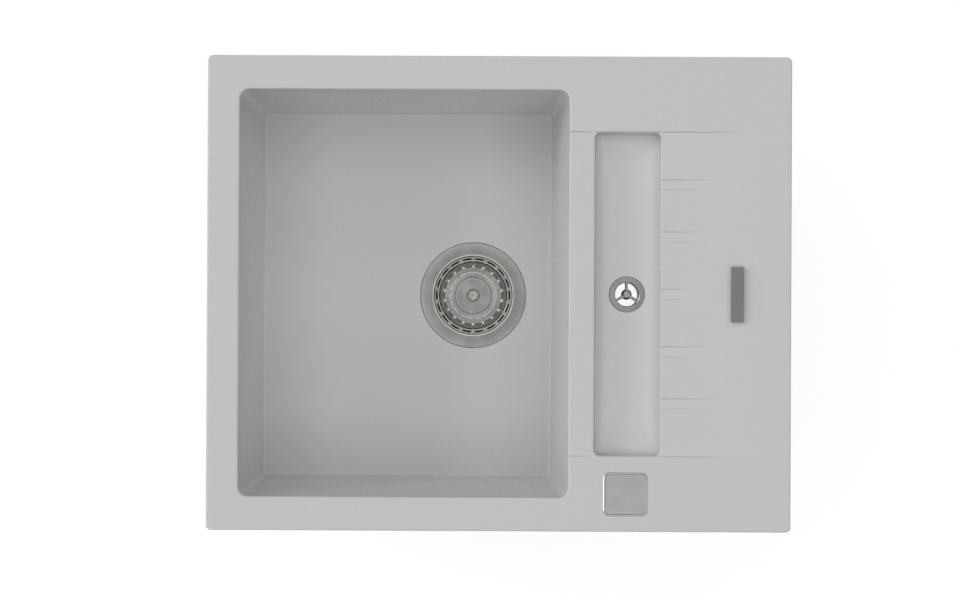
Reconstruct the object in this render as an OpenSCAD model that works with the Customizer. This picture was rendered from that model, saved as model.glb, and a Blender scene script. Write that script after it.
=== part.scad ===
// Inset kitchen sink with drainboard: one bowl with a pop-up basket strainer,
// a rinse trough that doubles as the overflow, and a fluted drainboard.
// Origin: centre of the outline on the worktop plane. +X to the drainboard, +Y to the back.

/* [Deck] */
// Length of the deck from left to right
deck_l = 615; // [605:1:640]
// Width of the deck from front to back
deck_w = 500; // [495:1:520]
// Height of the deck above the worktop
deck_t = 8; // [7:0.5:10]
// Radius of the deck's corners in plan
deck_corner_r = 5.5; // [3:0.5:12]
// Distance from the deck's edge to the outside of the rib under it
rib_inset = 12; // [11.5:0.5:14]
// Thickness of the rib under the deck
rib_t = 8; // [6:0.5:9]
// Depth of the rib below the worktop plane
rib_drop = 14; // [10:1:16]

/* [Bowl] */
// Bowl opening from left to right
bowl_l = 347; // [320:1:350]
// Rim in front of the bowl and behind it
bowl_rim_side = 35.7; // [34.5:0.1:50]
// Bowl depth from the deck's top
bowl_depth = 190; // [170:1:220]
// Rim to the left of the bowl
bowl_rim_left = 34; // [30.5:0.5:45]
// How far each wall leans in between the opening and the floor
bowl_draft = 16; // [6:0.5:18]
// Corner radius of the bowl in plan
bowl_corner_r = 10.5; // [8:0.5:20]
// Fillet between the wall and the floor
bowl_fillet = 3; // [3:0.5:7]
// Fall of the floor from its edge to the drain
floor_fall = 2.5; // [1:0.5:4]
// Wall and floor thickness
wall = 7; // [6:0.5:8]

/* [Trough] */
// Trough opening from left to right
trough_l = 70; // [60:0.5:80]
// Deck in front of the trough and behind it
trough_rim_side = 80; // [75:0.5:100]
// Trough depth below the deck's top
trough_depth = 29; // [24:1:40]
// Land between the bowl and the trough
trough_gap = 26.8; // [22:0.1:30]
// Corner radius of the trough in plan
trough_corner_r = 6; // [4:0.5:12]
// How far each trough wall leans in
trough_draft = 3; // [2:0.5:8]
// Rise of the trough's floor from its middle line to its sides
trough_belly = 5; // [3:0.5:8]

/* [Drainboard] */
// Depth of the drainboard's fall at the trough
recess_depth = 1.8; // [1:0.1:2.5]
// Level deck between the drainboard's fall and the right edge
deck_end = 37.5; // [30:0.5:60]
// Distance from the middle groove to the inner pair
flute_inner_y = 60.4; // [40:0.2:64]
// Distance from the middle groove to the outer pair
flute_outer_y = 115.3; // [100:0.1:140]
// Width of a groove
flute_w = 10.5; // [6:0.5:16]
// Depth of a groove at the trough
flute_depth = 1.4; // [0.8:0.1:2]
// Length of the middle groove
flute_run_middle = 40; // [30:1:60]
// Length of the inner pair of grooves
flute_run_inner = 70; // [30:1:90]
// Length of the outer pair of grooves
flute_run_outer = 84; // [30:1:95]

/* [Bowl waste] */
// Drain centre to the right of the bowl's centre
drain_offset = 71.5; // [60:0.5:80]
// Outer radius of the strainer flange
flange_r = 57.2; // [56:0.1:60]
// Radius of the drain hole in the bowl
drain_hole_r = 45; // [44:0.5:46]
// Sheet thickness of the strainer
sheet_t = 1.2; // [0.8:0.1:1.5]
// Depth of the strainer cup
cup_depth = 34; // [32:1:40]
// Radius of the cup's outlet
cup_outlet_r = 26.5; // [26:0.5:27]
// Radius of the bead on the basket's rim
basket_r = 39; // [38.5:0.1:39.2]
// Depth of the basket below its rim
basket_depth = 15; // [13:1:17]
// Number of slots in the basket
slot_count = 18; // [12:2:20]
// Radius of the 1 1/2 inch outlet thread
outlet_r = 23.9; // [23:0.1:26]
// Length of the outlet thread
outlet_len = 28; // [20:1:40]
// Radius of the overflow spigot
spigot_r = 12; // [10:0.5:13]
// How far the basket rises when the waste opens
lift = 8; // [6:0.5:9]

/* [Trough waste] */
// Outer radius of the trough grid
grid_r = 18.8; // [17:0.1:20]
// Radius of the grid's opening
grid_open_r = 12.25; // [11:0.25:13]
// Width of a grid spoke
spoke_w = 2.9; // [2:0.1:4]
// Outer radius of the trough tail
tail_r = 15; // [14.5:0.1:15.5]
// Length of the tail below the trough
tail_len = 56; // [40:1:80]

/* [Push control] */
// Side of the square bezel
bezel_w = 46.5; // [45:0.5:50]
// Height of the bezel above the deck
bezel_t = 1.2; // [0.8:0.1:1.5]
// Width of the bezel's face
bezel_face = 1.9; // [1.8:0.1:2.4]
// Corner radius of the bezel
bezel_corner_r = 6; // [4:0.5:6]
// Distance from the deck's front edge to the control's centre
control_inset = 39.5; // [38:0.5:42]
// Distance from the trough's centre line to the control's, towards the bowl
control_shift = 1.4; // [0:0.1:3]
// How far the button is pushed down
button_travel = 6; // [4:0.5:6]
// Outer radius of the threaded neck
neck_r = 13; // [12:0.5:14]
// Length of the threaded neck below the tub
neck_len = 36; // [34:1:50]

/* [Badge bar] */
// Width of the bar
bar_w = 13; // [10:0.1:16]
// Length of the bar
bar_l = 57.7; // [40:0.1:80]
// Height of the bar
bar_t = 4; // [3:0.5:8]
// Distance from the deck's right edge to the bar's centre
bar_inset = 57; // [50:0.5:70]

/* [Clamps] */
// Length of a clamp screw
clamp_screw_l = 62; // [50:1:80]
// Reach of a clamp arm from its screw
clamp_reach = 17; // [15:0.5:17.5]

/* [Hidden] */

round_fn = 64;
hull_fn = 32;
cut = 1;
run_fit = 0.05;
fit = 0.2;
rest_gap = 0.3;
face_gap = 0.02;

stone_color = [0.75, 0.75, 0.75];
steel_color = [0.66, 0.66, 0.65];
dark_steel_color = [0.47, 0.47, 0.47];
rubber_color = [0.12, 0.12, 0.12];
plastic_color = [0.16, 0.16, 0.17];
grey_plastic_color = [0.45, 0.46, 0.47];
brass_color = [0.75, 0.6, 0.3];

// ---- places shared by several pieces ----
bowl_x = -deck_l / 2 + bowl_rim_left + bowl_l / 2;
bowl_w = deck_w - 2 * bowl_rim_side;
floor_edge_z = deck_t - bowl_depth + floor_fall;
floor_z = deck_t - bowl_depth;
drain_x = bowl_x + drain_offset;
trough_x = bowl_x + bowl_l / 2 + trough_gap + trough_l / 2;
trough_w = deck_w - 2 * trough_rim_side;
trough_floor_z = deck_t - trough_depth;
recess_start_x = bowl_x + bowl_l / 2;
trough_edge_x = trough_x + trough_l / 2;
recess_end_x = deck_l / 2 - deck_end;
recess_run = recess_end_x - trough_edge_x;
control_x = trough_x - control_shift;
control_y = -deck_w / 2 + control_inset;
bar_x = deck_l / 2 - bar_inset;

// Grooves: [y, length], the middle one and two pairs
FLUTES = [
    [0, flute_run_middle],
    [-flute_inner_y, flute_run_inner],
    [flute_inner_y, flute_run_inner],
    [-flute_outer_y, flute_run_outer],
    [flute_outer_y, flute_run_outer]
];

// ---- bowl waste levels ----
flange_bed = 3;
fall_r = 160;
flange_play = 0.6;
drain_boss_h = 4;
boss_sink = 3;
flange_seal_t = 1.4;
flange_top_z = floor_z - flange_bed + flange_seal_t + sheet_t;
bed_z = floor_z - flange_bed;
drain_boss_r = flange_r + 5;
drain_boss_z = floor_z - wall - drain_boss_h;
waste_seal_t = 2;
waste_flange_t = 4;
cup_floor_z = flange_top_z - cup_depth;
cup_top_in_r = drain_hole_r - 1 - sheet_t;
cup_low_in_r = cup_top_in_r - 4;
flange_flat_in_r = cup_top_in_r + 1.6;
cup_seal_t = 1.5;
shelf_z = cup_floor_z - sheet_t - cup_seal_t;
shelf_t = 3.5;
chamber_r = cup_outlet_r;
chamber_wall = 3;
waste_cup_in_r = cup_low_in_r + sheet_t + 1;
waste_cup_r = waste_cup_in_r + chamber_wall;
chamber_h = 32;
chamber_z = shelf_z - chamber_h;
chamber_top_z = shelf_z - shelf_t - face_gap;
spider_t = 3;
spider_wall = 3;
spider_r = chamber_r + 1.5;
spider_low_z = chamber_top_z - spider_t;
funnel_h = 8;
funnel_z = chamber_z - funnel_h;
outlet_wall = 3.4;
outlet_shoulder = 3;
outlet_bore_r = outlet_r - outlet_wall;
outlet_end_z = funnel_z - outlet_len;
flange_screw_r = 2.5;
flange_screw_l = 14;
flange_screw_head_r = 4.2;
flange_screw_n = 3;
flange_screw_pcr = cup_low_in_r - flange_screw_head_r - 0.8;
screw_boss_r = 5;
chamber_flange_r = flange_screw_pcr + screw_boss_r + 1.2;
screw_boss_z = shelf_z - flange_screw_l - 1;
spigot_bore_r = spigot_r - 3;
spigot_shoulder_r = spigot_r + 2;
spigot_shoulder_l = 16;
spigot_l = 20;
spigot_shoulder_end = chamber_r + chamber_wall + spigot_shoulder_l;
spigot_end = spigot_shoulder_end + spigot_l;

// ---- basket levels ----
basket_rim_z = flange_top_z - 6;
basket_t = 1;
basket_floor_z = basket_rim_z - basket_depth;
basket_out_r = cup_top_in_r - 0.6;
basket_bead_w = 1.2;
basket_bead_h = 0.6;
basket_wall_top_r = basket_r - 2.8;
basket_wall_top_drop = 5;
basket_wall_low_r = 27.5;
basket_slot_w = 7.4;
rim_slot_w = 1.8;
rim_slot_l = 7.9;
rim_slot_in = 0.3;
rim_slot_r = (basket_r + basket_out_r) / 2;
basket_disc_r = 19;
basket_disc_rise = 1;
basket_seal_r = cup_outlet_r + 2.5;
basket_seal_t = 3;
basket_seal_z = cup_floor_z + rest_gap;
stud_r = 5.75;
stud_h = 4.5;
stud_stem_r = 2.5;
seal_nut_r = 9;
seal_nut_t = 3.5;
seal_nut_z = basket_seal_z - seal_nut_t;
carrier_r = cup_outlet_r - 2.5;
carrier_t = 1.6;
carrier_neck_r = 12;

// ---- lift mechanism ----
pin_r = 3;
pin_top_z = seal_nut_z - rest_gap;
pin_guide = 16;
pin_len = lift + pin_guide;
pin_head_r = 5;
pin_head_t = 2;
bush_r = 4.5;
hub_r = 7.5;
hub_h = 9;
hub_top_z = pin_top_z - pin_head_t - 2;
arm_w = 5;
shaft_r = 3;
shaft_arm = 15.3;
shaft_x = drain_x - shaft_arm;
shaft_z = pin_top_z - pin_len - 4.5;
lever_w = 6;
lever_y = lever_w / 2;
shaft_boss_y = -chamber_r - chamber_wall - 13;
shaft_boss_in_y = -20;
shaft_boss_r = 7;
shaft_seal_r = shaft_r + 2.2;
shaft_seal_t = 2;
lever_r = 5.5;
lever_tip_r = 4;
lever_tip_z = pin_top_z - pin_len - rest_gap - lever_tip_r;
crank_len = 18;
crank_t = 4;
crank_y = shaft_boss_y - 1;
shaft_out_y = crank_y - crank_t;
crank_screw_r = shaft_r + 1.2;
crank_screw_t = 2;
crank_w = 8;
crank_hub_r = shaft_r + 3;
crank_eye_r = 1.6;
gland_r = 4;
gland_bore_r = 2.6;
gland_wire_r = 1.2;
gland_flange_r = 7;
gland_flange_t = 2.5;
gland_tail = 3;
gland_nose = 9;
gland_socket = 10;
gland_z = shaft_z + crank_len;
gland_y = crank_y - crank_t / 2;
bracket_x = drain_x + 10;
bracket_t = 5;
bracket_w = 15;
bracket_l = bracket_w / 2 - gland_y - chamber_r + chamber_wall;
spigot_z = chamber_z + spigot_r + 1;

// ---- trough waste levels ----
grid_bed = 2.6;
grid_play = 0.4;
grid_t = 1.4;
trough_seal_t = 1;
grid_bed_z = trough_floor_z - grid_bed;
grid_top_z = grid_bed_z + trough_seal_t + grid_t;
trough_hole_r = grid_r - 3;
grid_neck_t = 1.2;
grid_neck_h = 6;
grid_dish = 2.6;
grid_hub_r = 4.5;
grid_hub_t = 2;
spoke_t = 1.8;
grid_face_w = 2.4;
trough_screw_r = 2.5;
trough_screw_head_r = 3.8;
trough_boss_h = 3;
trough_under_z = trough_floor_z - wall - trough_boss_h;
trough_boss_r = 23;
tail_flange_r = 21;
tail_flange_t = 3.5;
tail_bore_r = grid_open_r + 0.6;
trough_seal_low_t = 2;
tail_top_z = trough_under_z - trough_seal_low_t;
tail_neck_r = tail_r + 2;
tail_neck_z = tail_top_z - 18;
tail_hub_r = 5.5;
tail_hub_h = 12;
tail_insert_r = 3.6;
tail_insert_h = 9;
spoke_angles = [90, 210, 330];
tail_end_z = trough_under_z - tail_len;

// ---- push control levels ----
button_gap = 0.3;
bezel_hole = bezel_w - 2 * bezel_face;
button_w = bezel_hole - 2 * button_gap;
button_corner_r = bezel_corner_r - bezel_face;
button_t = 3;
button_top_z = deck_t + bezel_t - 0.2;
button_boss_h = 1.8;
tub_lip_t = 0.8;
tub_lip = 0.5;
tub_wall = 1;
tub_w = bezel_hole + 2 * tub_wall;
tub_fit = 0.2;
tub_corner_r = button_corner_r + tub_wall;
deck_hole_w = tub_w + 2 * tub_fit;
lip_w = tub_w + 2 * tub_lip;
rebate_w = lip_w + 2 * tub_fit;
tub_floor_t = 2;
tub_under_button = 3;
tub_floor_z = button_top_z - button_t - button_travel - tub_under_button - tub_floor_t;
plate_t = 3;
plate_l = deck_hole_w + 13;
plate_w = deck_hole_w + 5;
pad_l = plate_l + 4;
pad_w = plate_w + 6;
pad_z = -5;
neck_wall = 3.6;
neck_bore_r = neck_r - neck_wall;
neck_end_z = tub_floor_z - neck_len;
plunger_r = 5;
plunger_eye_r = 1.3;
collar_r = neck_bore_r - 0.8;
collar_t = 3;
collar_z = tub_floor_z - button_travel + 2;
spring_wire_r = 0.6;
spring_r = neck_bore_r - 1.6;
spring_turns = 6.5;
spring_dead_turns = 0.7;
spring_steps = 16;
spring_sides = 8;
neck_floor_t = 3;
spring_seat_z = neck_end_z + neck_floor_t;
plunger_out = 14;
plunger_end_z = neck_end_z - plunger_out;
gasket_t = 0.5;
nut_t = 8;
nut_r = 19;
nut_z = pad_z - plate_t - face_gap;
cage_r = neck_r + 3.5;
cage_l = 36;
cage_hold = 9;
cage_z = neck_end_z - cage_l;
cage_top_z = neck_end_z + cage_hold;
cage_wall = 3;
cage_floor_t = 4;
cage_slot = plunger_r + 2;

// ---- rim, clamps and bar ----
seal_inset = 3;
seal_w = 6;
seal_t = 2;
clamp_inset = 18;
clamp_boss_r = 6;
clamp_boss_z = -24;
insert_r = 4;
insert_l = 11;
clamp_screw_r = 2.5;
clamp_screw_top_z = clamp_boss_z + insert_l - 1;
clamp_screw_end_z = clamp_screw_top_z - clamp_screw_l;
arm_z = -48;
arm_t = 4;
arm_width = 12;
arm_bead = 3;
arm_bead_h = 3;
nut_h = 6;
clamp_nut_r = clamp_screw_r + 3;
wing_t = 3;
wing_r = 9;
clamp_spread = 110;
clamp_x_left = bowl_x - clamp_spread;
clamp_x_right = bowl_x + clamp_spread;
side_clamp_y = 60;
tap_hole_r = 17.5;
tap_hole_depth = 4.5;
bar_pad_t = 0.5;
bar_z = deck_t + bar_pad_t;
peg_r = 2;
peg_l = 4;
peg_inset = 12;
peg_spacing = bar_l - 2 * peg_inset;

// Clamp screws: [x, y, angle of the parked arm], around the rib
clamp_front_y = -deck_w / 2 + clamp_inset;
clamp_back_y = deck_w / 2 - clamp_inset;
clamp_left_x = -deck_l / 2 + clamp_inset;
clamp_right_x = deck_l / 2 - clamp_inset;
CLAMPS = [
    [clamp_x_left, clamp_front_y, 0],
    [clamp_x_right, clamp_front_y, 180],
    [clamp_x_left, clamp_back_y, 0],
    [clamp_x_right, clamp_back_y, 180],
    [clamp_left_x, -side_clamp_y, 90],
    [clamp_right_x, -side_clamp_y, 90]
];

// ---- shared shapes ----
module disc(r, h, fn = round_fn) {
    cylinder(r = r, h = h, $fn = fn);
}

module ring(r_out, r_in, h) {
    difference() {
        disc(r_out, h);
        translate([0, 0, -cut]) disc(r_in, h + 2 * cut);
    }
}

module rounded_plan(l, w, r) {
    union() {
        square([l - 2 * r, w], center = true);
        square([l, w - 2 * r], center = true);
        for (sx = [-1, 1], sy = [-1, 1])
            translate([sx * (l / 2 - r), sy * (w / 2 - r)]) circle(r = r, $fn = hull_fn);
    }
}

module rounded_block(l, w, h, r) {
    linear_extrude(height = h) rounded_plan(l, w, r);
}

module frame_block(l, w, h, r, width) {
    difference() {
        rounded_block(l, w, h, r);
        translate([0, 0, -cut])
            rounded_block(l - 2 * width, w - 2 * width, h + 2 * cut, max(r - width, 1));
    }
}

// Drafted basin with a filleted floor: four corner discs at each level, in one hull
module basin(l, w, z_top, z_low, draft, r, fillet) {
    shape_steps = [0, 30, 60, 90];
    hull()
        for (sx = [-1, 1], sy = [-1, 1]) {
            translate([sx * (l / 2 - r), sy * (w / 2 - r), z_top - 0.5]) disc(r, 0.5, hull_fn);
            translate([sx * (l / 2 - draft - r), sy * (w / 2 - draft - r), 0])
                for (a = shape_steps)
                    translate([0, 0, z_low + fillet * (1 - sin(a))])
                        disc(r - fillet * (1 - cos(a)), 0.1, hull_fn);
        }
}

// ---- sink body ----
module bowl_cavity() {
    translate([bowl_x, 0, 0])
        basin(bowl_l, bowl_w, deck_t + cut, floor_edge_z, bowl_draft, bowl_corner_r, bowl_fillet);
}

module bowl_floor_fall() {
    // shallow cone that leads the floor down to the drain
    translate([drain_x, 0, floor_z])
        cylinder(r1 = flange_r + 2, r2 = fall_r, h = floor_fall + 0.01, $fn = round_fn);
}

module bowl_shell() {
    translate([bowl_x, 0, 0])
        basin(bowl_l + 2 * wall, bowl_w + 2 * wall, deck_t / 2, floor_z - wall,
            bowl_draft, bowl_corner_r + wall, bowl_fillet + wall / 2);
}

module trough_cavity() {
    bottom_r = trough_corner_r;
    hull()
        for (sx = [-1, 1], sy = [-1, 1]) {
            translate([trough_x + sx * (trough_l / 2 - bottom_r), sy * (trough_w / 2 - bottom_r), deck_t])
                disc(bottom_r, cut, hull_fn);
            translate([trough_x + sx * (trough_l / 2 - trough_draft - bottom_r),
                    sy * (trough_w / 2 - trough_draft - bottom_r), trough_floor_z + trough_belly])
                disc(bottom_r, 0.1, hull_fn);
            translate([trough_x + sx * (trough_l / 2 - trough_draft - bottom_r) * 0.72,
                    sy * (trough_w / 2 - trough_draft - 3 * bottom_r),
                    trough_floor_z + trough_belly * 0.28])
                disc(bottom_r, 0.1, hull_fn);
            translate([trough_x + sx * grid_r / 4, sy * (trough_w / 2 - trough_draft - 5 * bottom_r),
                    trough_floor_z])
                disc(bottom_r, 0.1, hull_fn);
        }
}

module trough_shell() {
    translate([trough_x, 0, 0])
        basin(trough_l + 2 * wall, trough_w + 2 * wall, deck_t / 2, trough_floor_z - wall,
            trough_draft, trough_corner_r + wall, bowl_fillet + wall / 2);
}

module drainboard_recess() {
    // wedge: full depth from the bowl to the trough's far side, then fading out
    translate([0, trough_w / 2, 0])
        rotate([90, 0, 0])
            linear_extrude(height = trough_w)
                polygon([
                    [recess_start_x - cut, deck_t + cut],
                    [recess_start_x - cut, deck_t - recess_depth],
                    [trough_edge_x, deck_t - recess_depth],
                    [recess_end_x, deck_t],
                    [recess_end_x, deck_t + cut]
                ]);
}

module flute(y, run) {
    // its bottom line crosses the drainboard's fall at the run and goes on above it
    rise = flute_depth + recess_depth * run / recess_run;
    reach = run * (recess_depth + flute_depth + cut) / rise;
    translate([0, y + flute_w / 2, 0])
        rotate([90, 0, 0])
            linear_extrude(height = flute_w)
                polygon([
                    [trough_edge_x - trough_draft, deck_t + cut],
                    [trough_edge_x - trough_draft, deck_t - recess_depth - flute_depth],
                    [trough_edge_x, deck_t - recess_depth - flute_depth],
                    [trough_edge_x + reach, deck_t + cut]
                ]);
}

module rib_frame() {
    inset = 2 * rib_inset;
    translate([0, 0, -rib_drop])
        frame_block(deck_l - inset, deck_w - inset, rib_drop + deck_t / 2, deck_corner_r, rib_t);
}

module control_pad() {
    pad_front = -deck_w / 2 + rib_inset;
    pad_back = control_y + pad_w / 2;
    translate([control_x - pad_l / 2, pad_front, pad_z])
        cube([pad_l, pad_back - pad_front, -pad_z + deck_t / 2]);
}

module control_pad_clearance() {
    translate([control_x - pad_l / 2, -deck_w / 2, pad_z - rib_drop])
        cube([pad_l, control_inset + pad_w / 2, rib_drop]);
}

module sink_body() {
    color(stone_color)
        difference() {
            union() {
                rounded_block(deck_l, deck_w, deck_t, deck_corner_r);
                rib_frame();
                control_pad();
                bowl_shell();
                trough_shell();
                translate([drain_x, 0, drain_boss_z]) disc(drain_boss_r, drain_boss_h + boss_sink);
                translate([trough_x, 0, trough_under_z]) disc(trough_boss_r, trough_boss_h + boss_sink);
                for (c = CLAMPS)
                    translate([c[0], c[1], clamp_boss_z])
                        disc(clamp_boss_r, -clamp_boss_z + deck_t / 2);
            }
            bowl_cavity();
            bowl_floor_fall();
            trough_cavity();
            drainboard_recess();
            for (f = FLUTES)
                flute(f[0], f[1]);
            translate([drain_x, 0, bed_z]) disc(flange_r + flange_play, flange_bed + floor_fall);
            translate([drain_x, 0, drain_boss_z - cut]) disc(drain_hole_r, wall + 2 * drain_boss_h);
            translate([trough_x, 0, grid_bed_z]) disc(grid_r + grid_play, grid_bed + trough_belly / 2);
            translate([trough_x, 0, trough_under_z - cut]) disc(trough_hole_r, wall + 2 * drain_boss_h);
            control_pad_clearance();
            translate([control_x, control_y, pad_z - cut])
                rounded_block(deck_hole_w, deck_hole_w, deck_t - pad_z + 2 * cut, tub_corner_r);
            translate([control_x, control_y, deck_t - tub_lip_t])
                rounded_block(rebate_w, rebate_w, tub_lip_t + cut, tub_corner_r);
            translate([0, 0, -cut])
                frame_block(deck_l - 2 * seal_inset, deck_w - 2 * seal_inset, seal_t + cut,
                    deck_corner_r - seal_inset, seal_w);
            translate([control_x, -control_y, -cut]) disc(tap_hole_r, tap_hole_depth + cut);
            for (c = CLAMPS)
                translate([c[0], c[1], clamp_boss_z - cut]) disc(insert_r, insert_l + cut);
            for (s = [-1, 1])
                translate([bar_x, s * peg_spacing / 2, deck_t - peg_l - fit])
                    disc(peg_r + run_fit, peg_l + 2);
        }
}

module rim_seal() {
    color(rubber_color)
        frame_block(deck_l - 2 * seal_inset - fit, deck_w - 2 * seal_inset - fit, seal_t - face_gap,
            deck_corner_r - seal_inset, seal_w - fit);
}

// ---- clamps ----
module clamp_inserts() {
    color(brass_color)
        for (c = CLAMPS)
            translate([c[0], c[1], clamp_boss_z])
                ring(insert_r - run_fit, clamp_screw_r + run_fit, insert_l - run_fit);
}

module clamp_screws() {
    color(steel_color)
        for (c = CLAMPS)
            translate([c[0], c[1], clamp_screw_end_z])
                disc(clamp_screw_r, clamp_screw_l);
}

module clamp_nuts() {
    color(plastic_color)
        for (c = CLAMPS)
            translate([c[0], c[1], arm_z - nut_h - rest_gap])
                rotate([0, 0, c[2]])
                    difference() {
                        union() {
                            disc(clamp_nut_r, nut_h);
                            translate([-wing_r, -wing_t / 2, 0]) cube([2 * wing_r, wing_t, nut_h - 1]);
                        }
                        translate([0, 0, -cut]) disc(clamp_screw_r + run_fit, nut_h + 2 * cut);
                    }
}

module clamp_arm(i) {
    c = CLAMPS[i];
    color(steel_color)
        translate([c[0], c[1], arm_z])
            rotate([0, 0, c[2]])
                difference() {
                    union() {
                        disc(arm_width / 2, arm_t);
                        translate([0, -arm_width / 2, 0]) cube([clamp_reach, arm_width, arm_t]);
                        translate([clamp_reach - arm_bead, -arm_width / 2, 0])
                            cube([arm_bead, arm_width, arm_t + arm_bead_h]);
                    }
                    translate([0, 0, -cut]) disc(clamp_screw_r + run_fit, arm_t + 2 * cut);
                }
}

module clamp_arm_front_left() { clamp_arm(0); }
module clamp_arm_front_right() { clamp_arm(1); }
module clamp_arm_back_left() { clamp_arm(2); }
module clamp_arm_back_right() { clamp_arm(3); }
module clamp_arm_left() { clamp_arm(4); }
module clamp_arm_right() { clamp_arm(5); }

// ---- bowl waste ----
module strainer_flange() {
    floor_out_r = cup_low_in_r + sheet_t;
    color(steel_color)
        translate([drain_x, 0, 0])
            difference() {
                rotate_extrude($fn = round_fn)
                    polygon([
                        [flange_r, flange_top_z - sheet_t],
                        [flange_r, flange_top_z - 0.4],
                        [flange_r - 0.8, flange_top_z],
                        [flange_flat_in_r, flange_top_z],
                        [cup_top_in_r, flange_top_z - 1.6],
                        [cup_top_in_r, flange_top_z - 8],
                        [cup_low_in_r, flange_top_z - 14],
                        [cup_low_in_r, cup_floor_z],
                        [cup_outlet_r, cup_floor_z],
                        [cup_outlet_r, cup_floor_z - sheet_t],
                        [floor_out_r, cup_floor_z - sheet_t],
                        [floor_out_r, flange_top_z - 14],
                        [cup_top_in_r + sheet_t, flange_top_z - 8],
                        [cup_top_in_r + sheet_t, flange_top_z - sheet_t]
                    ]);
                translate([-drain_x, 0, 0])
                    flange_screw_places()
                        translate([0, 0, cup_floor_z - sheet_t - cut])
                            disc(flange_screw_r + fit, sheet_t + 2 * cut);
            }
}

module flange_seal() {
    color(rubber_color)
        translate([drain_x, 0, bed_z])
            ring(flange_r - 1.5, drain_hole_r + 1, flange_seal_t);
}

module waste_seal() {
    color(rubber_color)
        translate([drain_x, 0, drain_boss_z - waste_seal_t])
            ring(flange_r, drain_hole_r + 1.5, waste_seal_t);
}

module cup_seal() {
    color(rubber_color)
        difference() {
            translate([drain_x, 0, shelf_z]) ring(cup_low_in_r, cup_outlet_r + 0.5, cup_seal_t);
            flange_screw_places()
                translate([0, 0, shelf_z - cut]) disc(flange_screw_r + fit, cup_seal_t + 2 * cut);
        }
}

module flange_screws() {
    head_t = flange_screw_head_r - flange_screw_r;
    slot_w = 1;
    slot_t = 0.8;
    color(steel_color)
        flange_screw_places()
            translate([0, 0, cup_floor_z])
                difference() {
                    union() {
                        disc(flange_screw_head_r, head_t);
                        translate([0, 0, -flange_screw_l]) disc(flange_screw_r, flange_screw_l);
                    }
                    translate([-flange_screw_head_r, -slot_w / 2, head_t - slot_t])
                        cube([2 * flange_screw_head_r, slot_w, slot_t + cut]);
                }
}

module waste_cup_profile() {
    top_z = drain_boss_z - waste_seal_t;
    under_flange_z = top_z - waste_flange_t;
    step = 2;
    collar_in_r = drain_hole_r + 1.5;
    polygon([
        [flange_r, top_z],
        [flange_r, under_flange_z],
        [waste_cup_r + 1, under_flange_z - 1],
        [waste_cup_r, under_flange_z - 2 * step],
        [waste_cup_r, shelf_z - shelf_t],
        [chamber_r, shelf_z - shelf_t],
        [chamber_r, shelf_z],
        [waste_cup_in_r, shelf_z],
        [waste_cup_in_r, under_flange_z],
        [collar_in_r, under_flange_z + step],
        [collar_in_r, top_z]
    ]);
}

module waste_chamber_profile() {
    chamber_out_r = chamber_r + chamber_wall;
    polygon([
        [chamber_flange_r, chamber_top_z],
        [chamber_flange_r, chamber_top_z - shelf_t],
        [chamber_out_r, chamber_top_z - shelf_t - 3],
        [chamber_out_r, chamber_z],
        [outlet_r + outlet_shoulder, funnel_z],
        [outlet_r, funnel_z],
        [outlet_r, outlet_end_z],
        [outlet_bore_r, outlet_end_z],
        [outlet_bore_r, funnel_z],
        [chamber_r, chamber_z],
        [chamber_r, spider_low_z],
        [spider_r + fit, spider_low_z],
        [spider_r + fit, chamber_top_z]
    ]);
}

module flange_screw_places() {
    for (k = [0 : flange_screw_n - 1])
        translate([drain_x, 0, 0])
            rotate([0, 0, 360 / flange_screw_n * k + 60])
                translate([flange_screw_pcr, 0, 0]) children();
}

module shaft_place(y) {
    translate([shaft_x, y, shaft_z]) rotate([-90, 0, 0]) children();
}

module chamber_housing() {
    difference() {
        union() {
            translate([drain_x, 0, 0]) rotate_extrude($fn = round_fn) waste_chamber_profile();
            flange_screw_places()
                translate([0, 0, screw_boss_z])
                    disc(screw_boss_r, chamber_top_z - shelf_t / 2 - screw_boss_z);
            translate([drain_x, 0, spigot_z])
                rotate([0, 90, 0])
                    translate([0, 0, chamber_r - 3]) {
                        disc(spigot_r, spigot_end - chamber_r + 3);
                        disc(spigot_shoulder_r, spigot_shoulder_end - chamber_r + 3);
                    }
            translate([bracket_x, gland_y - bracket_w / 2, gland_z - bracket_w / 2])
                cube([bracket_t, bracket_l, bracket_w]);
        }
        translate([drain_x, 0, chamber_z]) disc(chamber_r, chamber_top_z + cut - chamber_z);
        translate([drain_x, 0, spider_low_z]) disc(spider_r + fit, spider_t + cut);
        translate([drain_x, 0, spigot_z]) rotate([0, 90, 0]) disc(spigot_bore_r, spigot_end + cut);
    }
}

module waste_cup() {
    color(plastic_color)
        difference() {
            translate([drain_x, 0, 0]) rotate_extrude($fn = round_fn) waste_cup_profile();
            flange_screw_places()
                translate([0, 0, shelf_z - shelf_t - cut])
                    disc(flange_screw_r + fit, shelf_t + 2 * cut);
        }
}

module waste_chamber() {
    color(plastic_color)
        difference() {
            union() {
                chamber_housing();
                shaft_place(shaft_boss_y) disc(shaft_boss_r, shaft_boss_in_y - shaft_boss_y);
            }
            shaft_place(shaft_boss_y - cut)
                disc(shaft_r + run_fit, shaft_boss_in_y - shaft_boss_y + 2 * cut);
            shaft_place(shaft_boss_y - cut) disc(shaft_seal_r, shaft_seal_t + fit + cut);
            flange_screw_places()
                translate([0, 0, cup_floor_z - flange_screw_l - 0.5])
                    disc(flange_screw_r + run_fit, flange_screw_l);
            translate([bracket_x - cut, gland_y, gland_z])
                rotate([0, 90, 0]) disc(gland_r + run_fit, bracket_t + 2 * cut);
        }
}

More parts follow.
